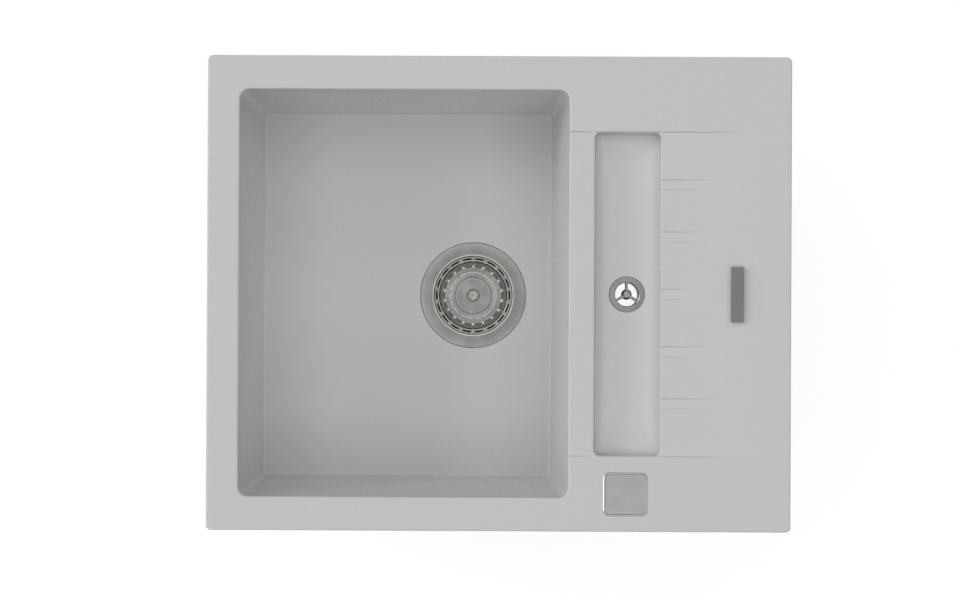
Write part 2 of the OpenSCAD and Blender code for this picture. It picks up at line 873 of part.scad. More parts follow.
// Guide for the lift pin: a hub on three arms in a ring, held between the cup and the chamber
module guide_spider() {
    arm_h = hub_h - 2;
    color(grey_plastic_color)
        translate([drain_x, 0, 0])
            difference() {
                union() {
                    translate([0, 0, spider_low_z + face_gap])
                        ring(spider_r, spider_r - spider_wall, spider_t - 2 * face_gap);
                    translate([0, 0, hub_top_z - hub_h]) disc(hub_r, hub_h);
                    for (a = [90, 210, 330])
                        rotate([0, 0, a])
                            translate([hub_r - 1, -arm_w / 2, spider_low_z + spider_t - 1 - arm_h])
                                cube([spider_r - spider_wall - hub_r + 1.5, arm_w, arm_h]);
                }
                translate([0, 0, hub_top_z - hub_h - cut]) disc(bush_r, hub_h + 2 * cut);
            }
}

module basket_slots() {
    // a slot in the slope and one outside the bead, between every two bridges
    slope_low_z = basket_floor_z + 1.2;
    slope_high_z = basket_rim_z - basket_wall_top_drop / 2;
    for (k = [0 : slot_count - 1])
        rotate([0, 0, 90 + (k + 0.5) * 360 / slot_count]) {
            translate([basket_wall_low_r, -basket_slot_w / 2, slope_low_z])
                cube([basket_wall_top_r - basket_wall_low_r, basket_slot_w, slope_high_z - slope_low_z]);
            translate([rim_slot_r - rim_slot_w / 2 + rim_slot_in,
                    -rim_slot_l / 2, basket_rim_z - 2 * basket_t - cut])
                cube([rim_slot_w, rim_slot_l, 2 * basket_t + 2 * cut]);
        }
}

module strainer_basket() {
    floor_top = basket_floor_z + basket_t;
    disc_top = floor_top + basket_disc_rise;
    rim_low = basket_rim_z - basket_bead_h;
    slope_z = basket_rim_z - basket_wall_top_drop;
    color(steel_color)
        translate([drain_x, 0, 0])
            difference() {
                rotate_extrude($fn = round_fn)
                    polygon([
                        [basket_out_r, rim_low - basket_t],
                        [basket_out_r, rim_low],
                        [basket_r + basket_bead_w / 2, rim_low],
                        [basket_r + basket_bead_w / 4, basket_rim_z],
                        [basket_r - basket_bead_w / 4, basket_rim_z],
                        [basket_r - basket_bead_w / 2, rim_low],
                        [basket_wall_top_r, slope_z],
                        [basket_wall_low_r, floor_top],
                        [basket_disc_r + 1, floor_top],
                        [basket_disc_r, disc_top],
                        [stud_stem_r + run_fit, disc_top],
                        [stud_stem_r + run_fit, disc_top - basket_t],
                        [basket_disc_r, disc_top - basket_t],
                        [basket_disc_r + 1, basket_floor_z],
                        [basket_wall_low_r + 0.4, basket_floor_z],
                        [basket_wall_top_r + basket_t, slope_z - basket_t / 2],
                        [basket_r + basket_bead_w / 2, rim_low - basket_t]
                    ]);
                basket_slots();
            }
}

module basket_stud() {
    disc_top = basket_floor_z + basket_t + basket_disc_rise;
    stem_end = seal_nut_z + 0.6;
    color(steel_color)
        translate([drain_x, 0, 0])
            rotate_extrude($fn = round_fn)
                polygon([
                    [0, stem_end],
                    [stud_stem_r, stem_end],
                    [stud_stem_r, disc_top],
                    [stud_r, disc_top],
                    [stud_r, disc_top + stud_h - 1.2],
                    [stud_r - 1.2, disc_top + stud_h],
                    [1.2, disc_top + stud_h],
                    [0, disc_top + stud_h - 0.8]
                ]);
}

module seal_carrier() {
    low_z = basket_seal_z + basket_seal_t;
    top_z = basket_floor_z + basket_disc_rise;
    color(plastic_color)
        translate([drain_x, 0, 0])
            rotate_extrude($fn = round_fn)
                polygon([
                    [stud_stem_r + run_fit, low_z],
                    [carrier_r, low_z],
                    [carrier_r, low_z + carrier_t],
                    [carrier_neck_r + 2, low_z + 2 * carrier_t],
                    [carrier_neck_r, basket_floor_z - 1],
                    [carrier_neck_r, top_z],
                    [stud_stem_r + run_fit, top_z]
                ]);
}

module basket_seal() {
    color(rubber_color)
        translate([drain_x, 0, basket_seal_z])
            ring(basket_seal_r, stud_stem_r + run_fit, basket_seal_t);
}

module seal_nut() {
    color(brass_color)
        translate([drain_x, 0, seal_nut_z])
            difference() {
                disc(seal_nut_r, seal_nut_t);
                translate([0, 0, 0.6]) disc(stud_stem_r + run_fit, seal_nut_t);
            }
}

// ---- lift mechanism ----
module lift_pin() {
    color(steel_color)
        translate([drain_x, 0, pin_top_z - pin_len]) {
            disc(pin_r, pin_len);
            translate([0, 0, pin_len - pin_head_t]) disc(pin_head_r, pin_head_t);
        }
}

module guide_bush() {
    color(brass_color)
        translate([drain_x, 0, hub_top_z - hub_h])
            ring(bush_r - face_gap, pin_r + run_fit, hub_h);
}

module cam_shaft() {
    color(steel_color)
        shaft_place(shaft_out_y) disc(shaft_r, lever_y + 0.5 - shaft_out_y);
}

module cam_lever() {
    tip_x = shaft_arm;
    tip_z = lever_tip_z - shaft_z;
    color(grey_plastic_color)
        translate([shaft_x, lever_y, shaft_z])
            rotate([90, 0, 0])
                difference() {
                    union() {
                        disc(lever_r, lever_w);
                        translate([tip_x, tip_z, 0]) disc(lever_tip_r, lever_w);
                        linear_extrude(height = lever_w)
                            polygon([
                                [0, lever_r - 0.5],
                                [0, 0.5 - lever_r],
                                [tip_x, tip_z - lever_tip_r],
                                [tip_x, tip_z + lever_tip_r]
                            ]);
                    }
                    translate([0, 0, -cut]) disc(shaft_r + face_gap, lever_w + 2 * cut);
                }
}

module shaft_seal() {
    color(rubber_color)
        shaft_place(shaft_boss_y + fit) ring(shaft_seal_r - run_fit, shaft_r + run_fit, shaft_seal_t - fit);
}

module cable_crank() {
    color(grey_plastic_color)
        translate([shaft_x, crank_y, shaft_z])
            rotate([90, 0, 0])
                difference() {
                    union() {
                        disc(crank_hub_r, crank_t);
                        translate([0, crank_len, 0]) disc(crank_w / 2, crank_t);
                        translate([-crank_w / 2, 0, 0]) cube([crank_w, crank_len, crank_t]);
                    }
                    translate([0, 0, -cut]) disc(shaft_r + face_gap, crank_t + 2 * cut);
                    translate([0, crank_len, -cut]) disc(crank_eye_r, crank_t + 2 * cut);
                }
}

module crank_screw() {
    color(steel_color)
        shaft_place(shaft_out_y - crank_screw_t) disc(crank_screw_r, crank_screw_t);
}

// Cable gland along +Z: a flange that seats at z = 0, a stem through the wall below it
// and a socket for the cable's sheath in its free end
module cable_gland(wall_t) {
    difference() {
        union() {
            disc(gland_flange_r, gland_flange_t);
            translate([0, 0, -wall_t - gland_tail]) disc(gland_r, wall_t + gland_tail + gland_nose);
        }
        translate([0, 0, -wall_t - gland_tail - cut]) disc(gland_wire_r, wall_t + gland_tail + gland_nose);
        translate([0, 0, gland_nose - gland_socket]) disc(gland_bore_r, gland_socket + cut);
    }
}

module waste_cable_gland() {
    color(brass_color)
        translate([bracket_x + bracket_t, gland_y, gland_z])
            rotate([0, 90, 0]) cable_gland(bracket_t);
}

// ---- trough waste ----
module trough_grid() {
    open_z = grid_top_z - grid_dish;
    hub_z = open_z - grid_hub_t;
    color(steel_color)
        translate([trough_x, 0, 0]) {
            rotate_extrude($fn = round_fn)
                polygon([
                    [grid_r, grid_top_z - grid_t],
                    [grid_r, grid_top_z - 0.5],
                    [grid_r - 0.8, grid_top_z],
                    [grid_r - grid_face_w, grid_top_z],
                    [grid_open_r, open_z],
                    [grid_open_r, grid_top_z - grid_neck_h],
                    [grid_open_r + grid_neck_t, grid_top_z - grid_neck_h],
                    [grid_open_r + grid_neck_t, open_z - 1],
                    [trough_hole_r - fit, grid_top_z - grid_t]
                ]);
            difference() {
                union() {
                    translate([0, 0, hub_z]) disc(grid_hub_r, grid_hub_t);
                    for (a = spoke_angles)
                        rotate([0, 0, a])
                            translate([grid_hub_r - 1, -spoke_w / 2, hub_z])
                                cube([grid_open_r - grid_hub_r + 1.5, spoke_w, spoke_t]);
                }
                translate([0, 0, hub_z - cut]) disc(trough_screw_r + fit, grid_hub_t + 2 * cut);
            }
        }
}

module trough_screw() {
    top_z = grid_top_z - grid_dish;
    end_z = tail_top_z - tail_insert_h - 1;
    color(steel_color)
        translate([trough_x, 0, 0])
            difference() {
                union() {
                    translate([0, 0, top_z]) disc(trough_screw_head_r, 1.8);
                    translate([0, 0, end_z]) disc(trough_screw_r, top_z - end_z);
                }
                translate([-trough_screw_head_r, -0.6, top_z + 0.9])
                    cube([2 * trough_screw_head_r, 1.2, 2]);
            }
}

module trough_top_seal() {
    color(rubber_color)
        translate([trough_x, 0, grid_bed_z])
            ring(grid_r - 0.8, trough_hole_r + 0.3, trough_seal_t);
}

module trough_bottom_seal() {
    color(rubber_color)
        translate([trough_x, 0, trough_under_z - trough_seal_low_t])
            ring(tail_flange_r, trough_hole_r + 0.5, trough_seal_low_t);
}

module trough_tail() {
    color(plastic_color)
        translate([trough_x, 0, 0])
            difference() {
                union() {
                    rotate_extrude($fn = round_fn)
                        polygon([
                            [tail_flange_r, tail_top_z],
                            [tail_flange_r, tail_top_z - tail_flange_t],
                            [tail_neck_r, tail_top_z - tail_flange_t - 2],
                            [tail_neck_r, tail_neck_z + 2],
                            [tail_r, tail_neck_z],
                            [tail_r, tail_end_z],
                            [tail_bore_r, tail_end_z],
                            [tail_bore_r, tail_top_z]
                        ]);
                    translate([0, 0, tail_top_z - tail_hub_h]) disc(tail_hub_r, tail_hub_h - 1);
                    for (a = spoke_angles)
                        rotate([0, 0, a])
                            translate([tail_hub_r - 1, -spoke_w / 2, tail_top_z - tail_hub_h])
                                cube([tail_bore_r - tail_hub_r + 1.5, spoke_w, tail_hub_h - 2]);
                }
                translate([0, 0, tail_top_z - tail_hub_h - cut]) disc(tail_insert_r, tail_hub_h + 2 * cut);
            }
}

module trough_insert() {
    color(brass_color)
        translate([trough_x, 0, tail_top_z - tail_hub_h + 1])
            ring(tail_insert_r - run_fit, trough_screw_r + run_fit, tail_insert_h);
}

// ---- push control ----
module control_bezel() {
    color(steel_color)
        translate([control_x, control_y, deck_t])
            frame_block(bezel_w, bezel_w, bezel_t, bezel_corner_r, bezel_face);
}

module control_button() {
    color(steel_color)
        translate([control_x, control_y, button_top_z - button_t])
            difference() {
                rounded_block(button_w, button_w, button_t, button_corner_r);
                translate([0, 0, -cut]) disc(plunger_r - fit, button_boss_h + cut);
            }
}

module control_plunger() {
    boss_top_z = button_top_z - button_t;
    color(grey_plastic_color)
        translate([control_x, control_y, 0])
            difference() {
                union() {
                    translate([0, 0, plunger_end_z]) disc(plunger_r, boss_top_z - plunger_end_z);
                    translate([0, 0, boss_top_z]) disc(plunger_r - fit - run_fit, button_boss_h - fit);
                    translate([0, 0, collar_z]) disc(collar_r, collar_t);
                }
                translate([0, -cut - plunger_r, plunger_end_z + plunger_eye_r + 3])
                    rotate([-90, 0, 0]) disc(plunger_eye_r, 2 * plunger_r + 2 * cut);
            }
}

// Height of the coil after t turns: flat at both ends, evenly pitched in between
function coil_z(t) =
    let (dead = spring_dead_turns, live = spring_turns - 2 * dead)
    min(max((t - dead) / live, 0), 1);

function coil_point(t, low, high, side) =
    let (a = 360 * t, b = 360 * side / spring_sides)
    let (r = spring_r + spring_wire_r * cos(b))
    [r * cos(a), r * sin(a), low + (high - low) * coil_z(t) + spring_wire_r * sin(b)];

module control_spring() {
    low_z = spring_seat_z + spring_wire_r + face_gap;
    high_z = collar_z - spring_wire_r - face_gap;
    rings = spring_turns * spring_steps;
    points = [
        for (i = [0 : rings], k = [0 : spring_sides - 1])
            coil_point(i / spring_steps, low_z, high_z, k)
    ];
    sides = [
        for (i = [0 : rings - 1], k = [0 : spring_sides - 1])
            let (n = (k + 1) % spring_sides, row = i * spring_sides, next = row + spring_sides)
            [row + k, next + k, next + n, row + n]
    ];
    low_cap = [for (k = [0 : spring_sides - 1]) k];
    high_cap = [for (k = [0 : spring_sides - 1]) (rings + 1) * spring_sides - 1 - k];
    color(steel_color)
        translate([control_x, control_y, 0])
            polyhedron(points = points, faces = concat(sides, [low_cap, high_cap]), convexity = 8);
}

module control_tub() {
    hole_r = plunger_r + run_fit;
    inner_w = tub_w - 2 * tub_wall;
    color(plastic_color)
        translate([control_x, control_y, 0])
            difference() {
                union() {
                    translate([0, 0, tub_floor_z])
                        rounded_block(tub_w, tub_w, deck_t - tub_floor_z, tub_corner_r);
                    translate([0, 0, deck_t - tub_lip_t])
                        rounded_block(lip_w, lip_w, tub_lip_t, tub_corner_r);
                    translate([0, 0, neck_end_z]) disc(neck_r, neck_len + tub_floor_t / 2);
                }
                translate([0, 0, tub_floor_z + tub_floor_t])
                    rounded_block(inner_w, inner_w, deck_t - tub_floor_z, button_corner_r);
                translate([0, 0, spring_seat_z]) disc(neck_bore_r, neck_len + tub_floor_t);
                translate([0, 0, neck_end_z - cut]) disc(hole_r, neck_floor_t + 2 * cut);
            }
}

module control_gasket() {
    color(rubber_color)
        translate([control_x, control_y, pad_z - gasket_t])
            difference() {
                rounded_block(plate_l - 1, plate_w - 1, gasket_t - face_gap, 3);
                translate([0, 0, -cut])
                    rounded_block(tub_w + 1, tub_w + 1, gasket_t + 2 * cut, 3);
            }
}

module control_clamp_plate() {
    color(steel_color)
        translate([control_x, control_y, pad_z - gasket_t - plate_t])
            difference() {
                rounded_block(plate_l, plate_w, plate_t - face_gap, 3);
                translate([0, 0, -cut]) disc(neck_r + 0.4, plate_t + 2 * cut);
            }
}

module control_backnut() {
    lobes = 6;
    color(plastic_color)
        translate([control_x, control_y, nut_z - gasket_t - nut_t])
            difference() {
                union() {
                    disc(nut_r - 2, nut_t);
                    for (k = [0 : lobes - 1])
                        rotate([0, 0, k * 60]) translate([nut_r - 3, -3, 0]) cube([3, 6, nut_t]);
                }
                translate([0, 0, -cut]) disc(neck_r + run_fit, nut_t + 2 * cut);
            }
}

module control_cage() {
    inside_z = cage_z + cage_floor_t;
    roof_z = neck_end_z - cage_floor_t / 2;
    color(grey_plastic_color)
        translate([control_x, control_y, 0])
            difference() {
                translate([0, 0, cage_z]) disc(cage_r, cage_top_z - cage_z);
                translate([0, 0, neck_end_z - face_gap])
                    disc(neck_r + run_fit, cage_top_z - neck_end_z + cut);
                translate([0, 0, inside_z]) disc(cage_r - cage_wall, roof_z - inside_z);
                translate([0, 0, roof_z - cut]) disc(cage_slot, cage_floor_t);
                translate([-cage_r - cut, -cage_slot, inside_z])
                    cube([2 * cage_r + 2 * cut, 2 * cage_slot, roof_z - 2 - inside_z]);
                translate([0, 0, cage_z - cut]) disc(gland_r + run_fit, cage_floor_t + 2 * cut);
            }
}

module control_cable_gland() {
    color(brass_color)
        translate([control_x, control_y, cage_z])
            mirror([0, 0, 1]) cable_gland(cage_floor_t);
}

// ---- badge bar ----
module badge_bar() {
    color(dark_steel_color)
        translate([bar_x, 0, 0]) {
            translate([-bar_w / 2, -bar_l / 2, bar_z]) cube([bar_w, bar_l, bar_t]);
            for (s = [-1, 1])
                translate([0, s * peg_spacing / 2, deck_t - peg_l]) disc(peg_r, peg_l + bar_pad_t);
        }
}

module badge_pad() {
    inset = 0.6;
    color(rubber_color)
        translate([bar_x, 0, deck_t])
            difference() {
                translate([inset - bar_w / 2, inset - bar_l / 2, 0])
                    cube([bar_w - 2 * inset, bar_l - 2 * inset, bar_pad_t]);
                for (s = [-1, 1])
                    translate([0, s * peg_spacing / 2, -cut]) disc(peg_r + run_fit, bar_pad_t + 2 * cut);
            }
}

sink_body();
rim_seal();
clamp_inserts();
clamp_screws();
clamp_nuts();
clamp_arm_front_left();
clamp_arm_front_right();
clamp_arm_back_left();
clamp_arm_back_right();
clamp_arm_left();
clamp_arm_right();
strainer_flange();
flange_seal();
waste_seal();
cup_seal();
waste_cup();
waste_chamber();
guide_spider();
flange_screws();
strainer_basket();
basket_stud();
seal_carrier();
basket_seal();
seal_nut();
lift_pin();
guide_bush();
cam_shaft();
cam_lever();
shaft_seal();
cable_crank();
crank_screw();
waste_cable_gland();
trough_grid();
trough_screw();
trough_top_seal();
trough_bottom_seal();
trough_tail();
trough_insert();
control_bezel();
control_button();
control_plunger();
control_spring();
control_tub();
control_gasket();
control_clamp_plate();
control_backnut();
control_cage();
control_cable_gland();
badge_bar();
badge_pad();
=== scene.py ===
"""Looks of a composite kitchen sink with a bowl, a rinse trough and a fluted drainboard.

The moulded body, the steel strainer, the trough's waste grid, the push control and the bar are built
here as meshes, in millimetres, around the fixed frame. The fittings under the deck keep their shapes
and get their finishes.
"""

import logging
import math
from collections.abc import Callable, Iterable, Sequence
from dataclasses import dataclass
from enum import Enum

import bmesh
import bpy
from mathutils import Matrix, Vector
from mathutils.geometry import delaunay_2d_cdt


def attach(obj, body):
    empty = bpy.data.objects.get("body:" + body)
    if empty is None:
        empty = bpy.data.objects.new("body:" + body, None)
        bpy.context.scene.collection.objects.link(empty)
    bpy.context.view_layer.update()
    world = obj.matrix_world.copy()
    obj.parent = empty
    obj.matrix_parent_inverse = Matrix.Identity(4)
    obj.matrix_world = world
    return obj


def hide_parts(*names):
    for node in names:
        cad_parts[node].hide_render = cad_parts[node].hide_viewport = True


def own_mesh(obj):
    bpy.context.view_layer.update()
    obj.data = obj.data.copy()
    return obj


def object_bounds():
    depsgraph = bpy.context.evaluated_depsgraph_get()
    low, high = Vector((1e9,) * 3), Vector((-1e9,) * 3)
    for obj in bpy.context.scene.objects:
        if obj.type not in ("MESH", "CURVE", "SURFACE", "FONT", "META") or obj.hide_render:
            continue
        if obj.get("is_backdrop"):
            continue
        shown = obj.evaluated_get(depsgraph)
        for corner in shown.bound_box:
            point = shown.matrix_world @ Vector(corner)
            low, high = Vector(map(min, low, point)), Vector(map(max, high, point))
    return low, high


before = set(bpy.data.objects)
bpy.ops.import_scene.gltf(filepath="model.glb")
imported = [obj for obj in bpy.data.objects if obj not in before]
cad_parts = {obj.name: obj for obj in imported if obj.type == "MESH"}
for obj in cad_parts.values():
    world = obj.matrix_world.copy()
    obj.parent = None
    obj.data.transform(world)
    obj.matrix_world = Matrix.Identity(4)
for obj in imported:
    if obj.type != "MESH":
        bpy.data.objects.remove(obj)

MM = 0.001
Plan = tuple[float, float]
Point = tuple[float, float, float]
Height = Callable[[float, float], float]

log = logging.getLogger("sink")


# ---------------------------------------------------------------- shapes


def ease(value: float) -> float:
    """Smooth step from 0 to 1.

    Args:
        value: place along the step, below 0 before it and above 1 after it.

    Returns:
        The eased share.
    """
    t = min(max(value, 0.0), 1.0)
    return t * t * (3 - 2 * t)


def spread(low: float, high: float, step: float) -> list[float]:
    """Even places from low to high, no further apart than step.

    Args:
        low: first place.
        high: last place.
        step: widest spacing.

    Returns:
        The places, both ends included.
    """
    count = max(1, math.ceil((high - low) / step))
    return [low + (high - low) * k / count for k in range(count + 1)]


def softened(corners: Sequence[tuple[float, float, float]], steps: int = 4) -> list[Plan]:
    """A section whose corners are rounded.

    Args:
        corners: distance from the axis, height and rounding radius of each corner.
        steps: segments in each rounding.

    Returns:
        The section's points.
    """
    points: list[Plan] = []
    for k, (r, z, radius) in enumerate(corners):
        here = Vector((r, z))
        if radius <= 0 or k in (0, len(corners) - 1):
            points.append((r, z))
            continue
        back = Vector(corners[k - 1][:2]) - here
        on = Vector(corners[k + 1][:2]) - here
        half = back.angle(on) / 2
        reach = min(radius / max(math.tan(half), 1e-6), back.length * 0.49, on.length * 0.49)
        start, end = here + back.normalized() * reach, here + on.normalized() * reach
        for i in range(steps + 1):
            t = i / steps
            point = start * (1 - t) ** 2 + here * 2 * t * (1 - t) + end * t**2
            points.append((point.x, point.y))
    return points


@dataclass(frozen=True)
class Outline:
    """A rounded rectangle in plan, in millimetres. A circle is one that is all corner.

    Attributes:
        x: middle from left to right.
        y: middle from front to back.
        length: size from left to right.
        width: size from front to back.
        radius: corner radius.
        along_x: places of extra points along the front and back, from -1 to 1.
        along_y: places of extra points along the sides, from -1 to 1.
        corner_steps: segments in each corner.
    """

    x: float
    y: float
    length: float
    width: float
    radius: float
    along_x: tuple[float, ...] = ()
    along_y: tuple[float, ...] = ()
    corner_steps: int = 8

    @classmethod
    def circle(cls, x: float, y: float, radius: float, corner_steps: int = 24) -> "Outline":
        """A circle around a point."""
        return cls(x, y, 2 * radius, 2 * radius, radius, corner_steps=corner_steps)

    def plan(self, grow: float = 0.0, radius: float | None = None) -> list[Plan]:
        """Points around the outline, anticlockwise from the lower right.

        Args:
            grow: how far outside the outline the points lie.
            radius: corner radius there, or None to let it grow with the outline.

        Returns:
            The points, as many for every grow.
        """
        r = max(self.radius + grow if radius is None else radius, 0.02)
        half_x, half_y = self.length / 2 + grow - r, self.width / 2 + grow - r
        round_plan = not self.along_x and self.length == self.width == 2 * self.radius
        points: list[Plan] = []
        for quarter in range(4):
            side = self.along_x if quarter % 2 else self.along_y
            for t in side:
                points.append(
                    (
                        (half_x + r, t * half_y),
                        (-t * half_x, half_y + r),
                        (-half_x - r, -t * half_y),
                        (t * half_x, -half_y - r),
                    )[quarter]
                )
            cx = half_x if quarter in (0, 3) else -half_x
            cy = half_y if quarter in (0, 1) else -half_y
            for k in range(self.corner_steps + (0 if round_plan else 1)):
                a = math.radians(90 * quarter + 90 * k / self.corner_steps)
                points.append((cx + r * math.cos(a), cy + r * math.sin(a)))
        return [(self.x + px, self.y + py) for px, py in points]

    def distance(self, x: float, y: float) -> float:
        """How far a point is outside the outline, below 0 inside it."""
        qx = abs(x - self.x) - self.length / 2 + self.radius
        qy = abs(y - self.y) - self.width / 2 + self.radius
        return math.hypot(max(qx, 0), max(qy, 0)) + min(max(qx, qy), 0) - self.radius


class Slope:
    """A section walked over an edge: pairs of how far in from the outline and how far down."""

    def __init__(self, inset: float, depth: float = 0.0, pitch: float = 0.0) -> None:
        """Starts the walk.

        Args:
            inset: first distance inside the outline.
            depth: first depth.
            pitch: first steepness, in degrees.
        """
        self.inset, self.depth, self.pitch = inset, depth, math.radians(pitch)
        self.steps: list[Plan] = [(inset, depth)]

    def move(self, inset: float) -> "Slope":
        """Goes level to another distance inside the outline."""
        self.inset = inset
        self.steps.append((inset, self.depth))
        return self

    def bend(self, radius: float, pitch: float, count: int = 6) -> "Slope":
        """Turns to another steepness around a radius.

        Args:
            radius: radius of the turn.
            pitch: steepness after it, in degrees.
            count: segments.

        Returns:
            The walk itself.
        """
        end = math.radians(pitch)
        for k in range(1, count + 1):
            a = self.pitch + (end - self.pitch) * k / count
            self.steps.append(
                (
                    self.inset + radius * abs(math.sin(a) - math.sin(self.pitch)),
                    self.depth + radius * abs(math.cos(self.pitch) - math.cos(a)),
                )
            )
        self.inset, self.depth = self.steps[-1]
        self.pitch = end
        return self

    def fall(self, depth: float, support: float = 1.2) -> "Slope":
        """Goes straight down to a depth, with a point close to each end.

        Args:
            depth: depth to reach.
            support: distance of the extra points from the ends.

        Returns:
            The walk itself.
        """
        run = (depth - self.depth) / math.tan(self.pitch)
        drop, start, low = depth - self.depth, self.inset, self.depth
        near = min(support / drop, 0.4)
        for share in (near, 1 - near, 1.0):
            self.steps.append((start + run * share, low + drop * share))
        self.inset, self.depth = self.steps[-1]
        return self


class Form:
    """Points and faces in millimetres that become one object."""

    def __init__(self, name: str) -> None:
        """Starts an empty form with its object's name."""
        self.name = name
        self.points: list[Point] = []
        self.faces: list[tuple[int, ...]] = []
        self.slots: list[int] = []
        self.slot = 0

    def ring(self, points: Iterable[Point]) -> list[int]:
        """Adds points.

        Args:
            points: places in millimetres.

        Returns:
            Their numbers.
        """
        first = len(self.points)
        self.points.extend(points)
        return list(range(first, len(self.points)))

    def level(
        self, outline: Outline, inset: float, z: float, radius: float | None = None
    ) -> list[int]:
        """Adds the ring of an outline at one height.

        Args:
            outline: the outline.
            inset: how far inside it the points lie.
            z: their height.
            radius: corner radius there, or None to let it follow.

        Returns:
            The points' numbers.
        """
        return self.ring((x, y, z) for x, y in outline.plan(-inset, radius))

    def face(self, *corners: int) -> None:
        """Adds one face in the current finish slot."""
        self.faces.append(corners)
        self.slots.append(self.slot)

    def join(self, first: Sequence[int], second: Sequence[int], closed: bool = True) -> None:
        """Adds the band of faces between two rings of as many points."""
        count = len(first)
        for k in range(count if closed else count - 1):
            n = (k + 1) % count
            self.face(first[k], first[n], second[n], second[k])

    def loft(self, rings: Sequence[Sequence[int]], closed: bool = True) -> None:
        """Adds the bands between rings, in their order."""
        for first, second in zip(rings, rings[1:]):
            self.join(first, second, closed)

    def fan(self, ring: Sequence[int], height: float) -> None:
        """Closes a ring with triangles to its middle, at a height."""
        x = sum(self.points[k][0] for k in ring) / len(ring)
        y = sum(self.points[k][1] for k in ring) / len(ring)
        (middle,) = self.ring([(x, y, height)])
        for k, corner in enumerate(ring):
            self.face(corner, ring[(k + 1) % len(ring)], middle)

    def turn(self, x: float, y: float, section: Sequence[Plan], steps: int = 96) -> list[list[int]]:
        """Adds a section turned around a vertical axis.

        Args:
            x: axis from left to right.
            y: axis from front to back.
            section: distance from the axis and height of each point; an end on the axis is closed.
            steps: segments around.

        Returns:
            The rings, without the ends on the axis.
        """
        rings = []
        for r, z in section:
            if r > 1e-6:
                angles = [2 * math.pi * k / steps for k in range(steps)]
                rings.append(self.ring((x + r * math.cos(a), y + r * math.sin(a), z) for a in angles))
        self.loft(rings)
        if section[0][0] <= 1e-6:
            self.fan(rings[0], section[0][1])
        if section[-1][0] <= 1e-6:
            self.fan(rings[-1], section[-1][1])
        return rings

    def fill(
        self,
        rings: Sequence[Sequence[int]],
        extra: Iterable[Plan],
        height: Height,
        inside: Height,
        margin: float = 1.0,
    ) -> None:
        """Covers the plan between rings with triangles.

        Args:
            rings: the outer ring and the rings of the holes.
            extra: places in plan that get a point each.
            height: height at a place.
            inside: how far a place is outside the covered area, below 0 inside it.
            margin: nearest that an extra point comes to a ring.
        """
        border = [k for ring in rings for k in ring]
        plan = [Vector(self.points[k][:2]) for k in border]
        edges, first = [], 0
        for ring in rings:
            edges += [(first + k, first + (k + 1) % len(ring)) for k in range(len(ring))]
            first += len(ring)
        plan += [Vector(p) for p in extra if inside(*p) < -margin]
        corners, _, faces, origin, _, _ = delaunay_2d_cdt(plan, edges, [], 0, 1e-5)
        number = []
        for place, source in zip(corners, origin):
            if source and source[0] < len(border):
                number.append(border[source[0]])
            else:
                number += self.ring([(place.x, place.y, height(place.x, place.y))])
        for face in faces:
            x = sum(corners[k].x for k in face) / len(face)
            y = sum(corners[k].y for k in face) / len(face)
            if inside(x, y) < 0:
                self.face(*(number[k] for k in face))

    def thicken(self, offsets: Sequence[Point]) -> None:
        """Gives an open sheet its other side and the edges between.

        Args:
            offsets: from each point to its partner on the other side.
        """
        partner = self.ring(
            tuple(p + d for p, d in zip(point, offset)) for point, offset in zip(self.points, offsets)
        )
        once: dict[tuple[int, int], int] = {}
        sheet = list(self.faces)
        for face in sheet:
            for k, a in enumerate(face):
                b = face[(k + 1) % len(face)]
                key = (min(a, b), max(a, b))
                once[key] = once.get(key, 0) + 1
        for face in sheet:
            self.face(*(partner[k] for k in reversed(face)))
            for k, a in enumerate(face):
                b = face[(k + 1) % len(face)]
                if once[(min(a, b), max(a, b))] == 1:
                    self.face(b, a, partner[a], partner[b])

    def object(self, materials: Sequence[bpy.types.Material], sharp: float = 35.0) -> bpy.types.Object:
        """Makes the object.

        Args:
            materials: one for each finish slot.
            sharp: angle above which an edge stays sharp, in degrees.

        Returns:
            The object, in metres.
        """
        mesh = bpy.data.meshes.new(self.name)
        mesh.from_pydata([Vector(p) * MM for p in self.points], [], self.faces)
        for material in materials:
            mesh.materials.append(material)
        mesh.polygons.foreach_set("material_index", self.slots)
        mesh.validate()
        if len(self.faces) > 1:
            surface = bmesh.new()
            surface.from_mesh(mesh)
            bmesh.ops.recalc_face_normals(surface, faces=surface.faces)
            surface.to_mesh(mesh)
            surface.free()
        mesh.shade_smooth()
        mesh.set_sharp_from_angle(angle=math.radians(sharp))
        piece = bpy.data.objects.new(self.name, mesh)
        bpy.context.scene.collection.objects.link(piece)
        return piece


def block(
    form: Form, outline: Outline, low: float, high: float, edge: float, edge_low: float = 0.0
) -> None:
    """Adds a plate with rounded edges.

    Args:
        form: where to add it.
        outline: its plan.
        low: height of its underside.
        high: height of its top.
        edge: rounding of the top edge.
        edge_low: rounding of the lower edge, or 0 for a sharp one.
    """
    lower_turn = (1.2, 0.6, 0.0)
    upper_turn = [math.pi / 2 * k / 4 for k in range(5)]
    flat_inset = edge + 0.6
    steps = [(0.0, low)]
    if edge_low:
        steps = [(edge_low * (1 - math.cos(a)), low + edge_low * (1 - math.sin(a))) for a in lower_turn]
    steps += [(edge * (1 - math.cos(a)), high - edge * (1 - math.sin(a))) for a in upper_turn]
    rings = [form.level(outline, inset, z) for inset, z in steps]
    inner = form.level(outline, flat_inset, high)
    form.loft(rings + [inner])
    form.fan(inner, high)
    form.fan(rings[0], steps[0][1])


# ---------------------------------------------------------------- finishes


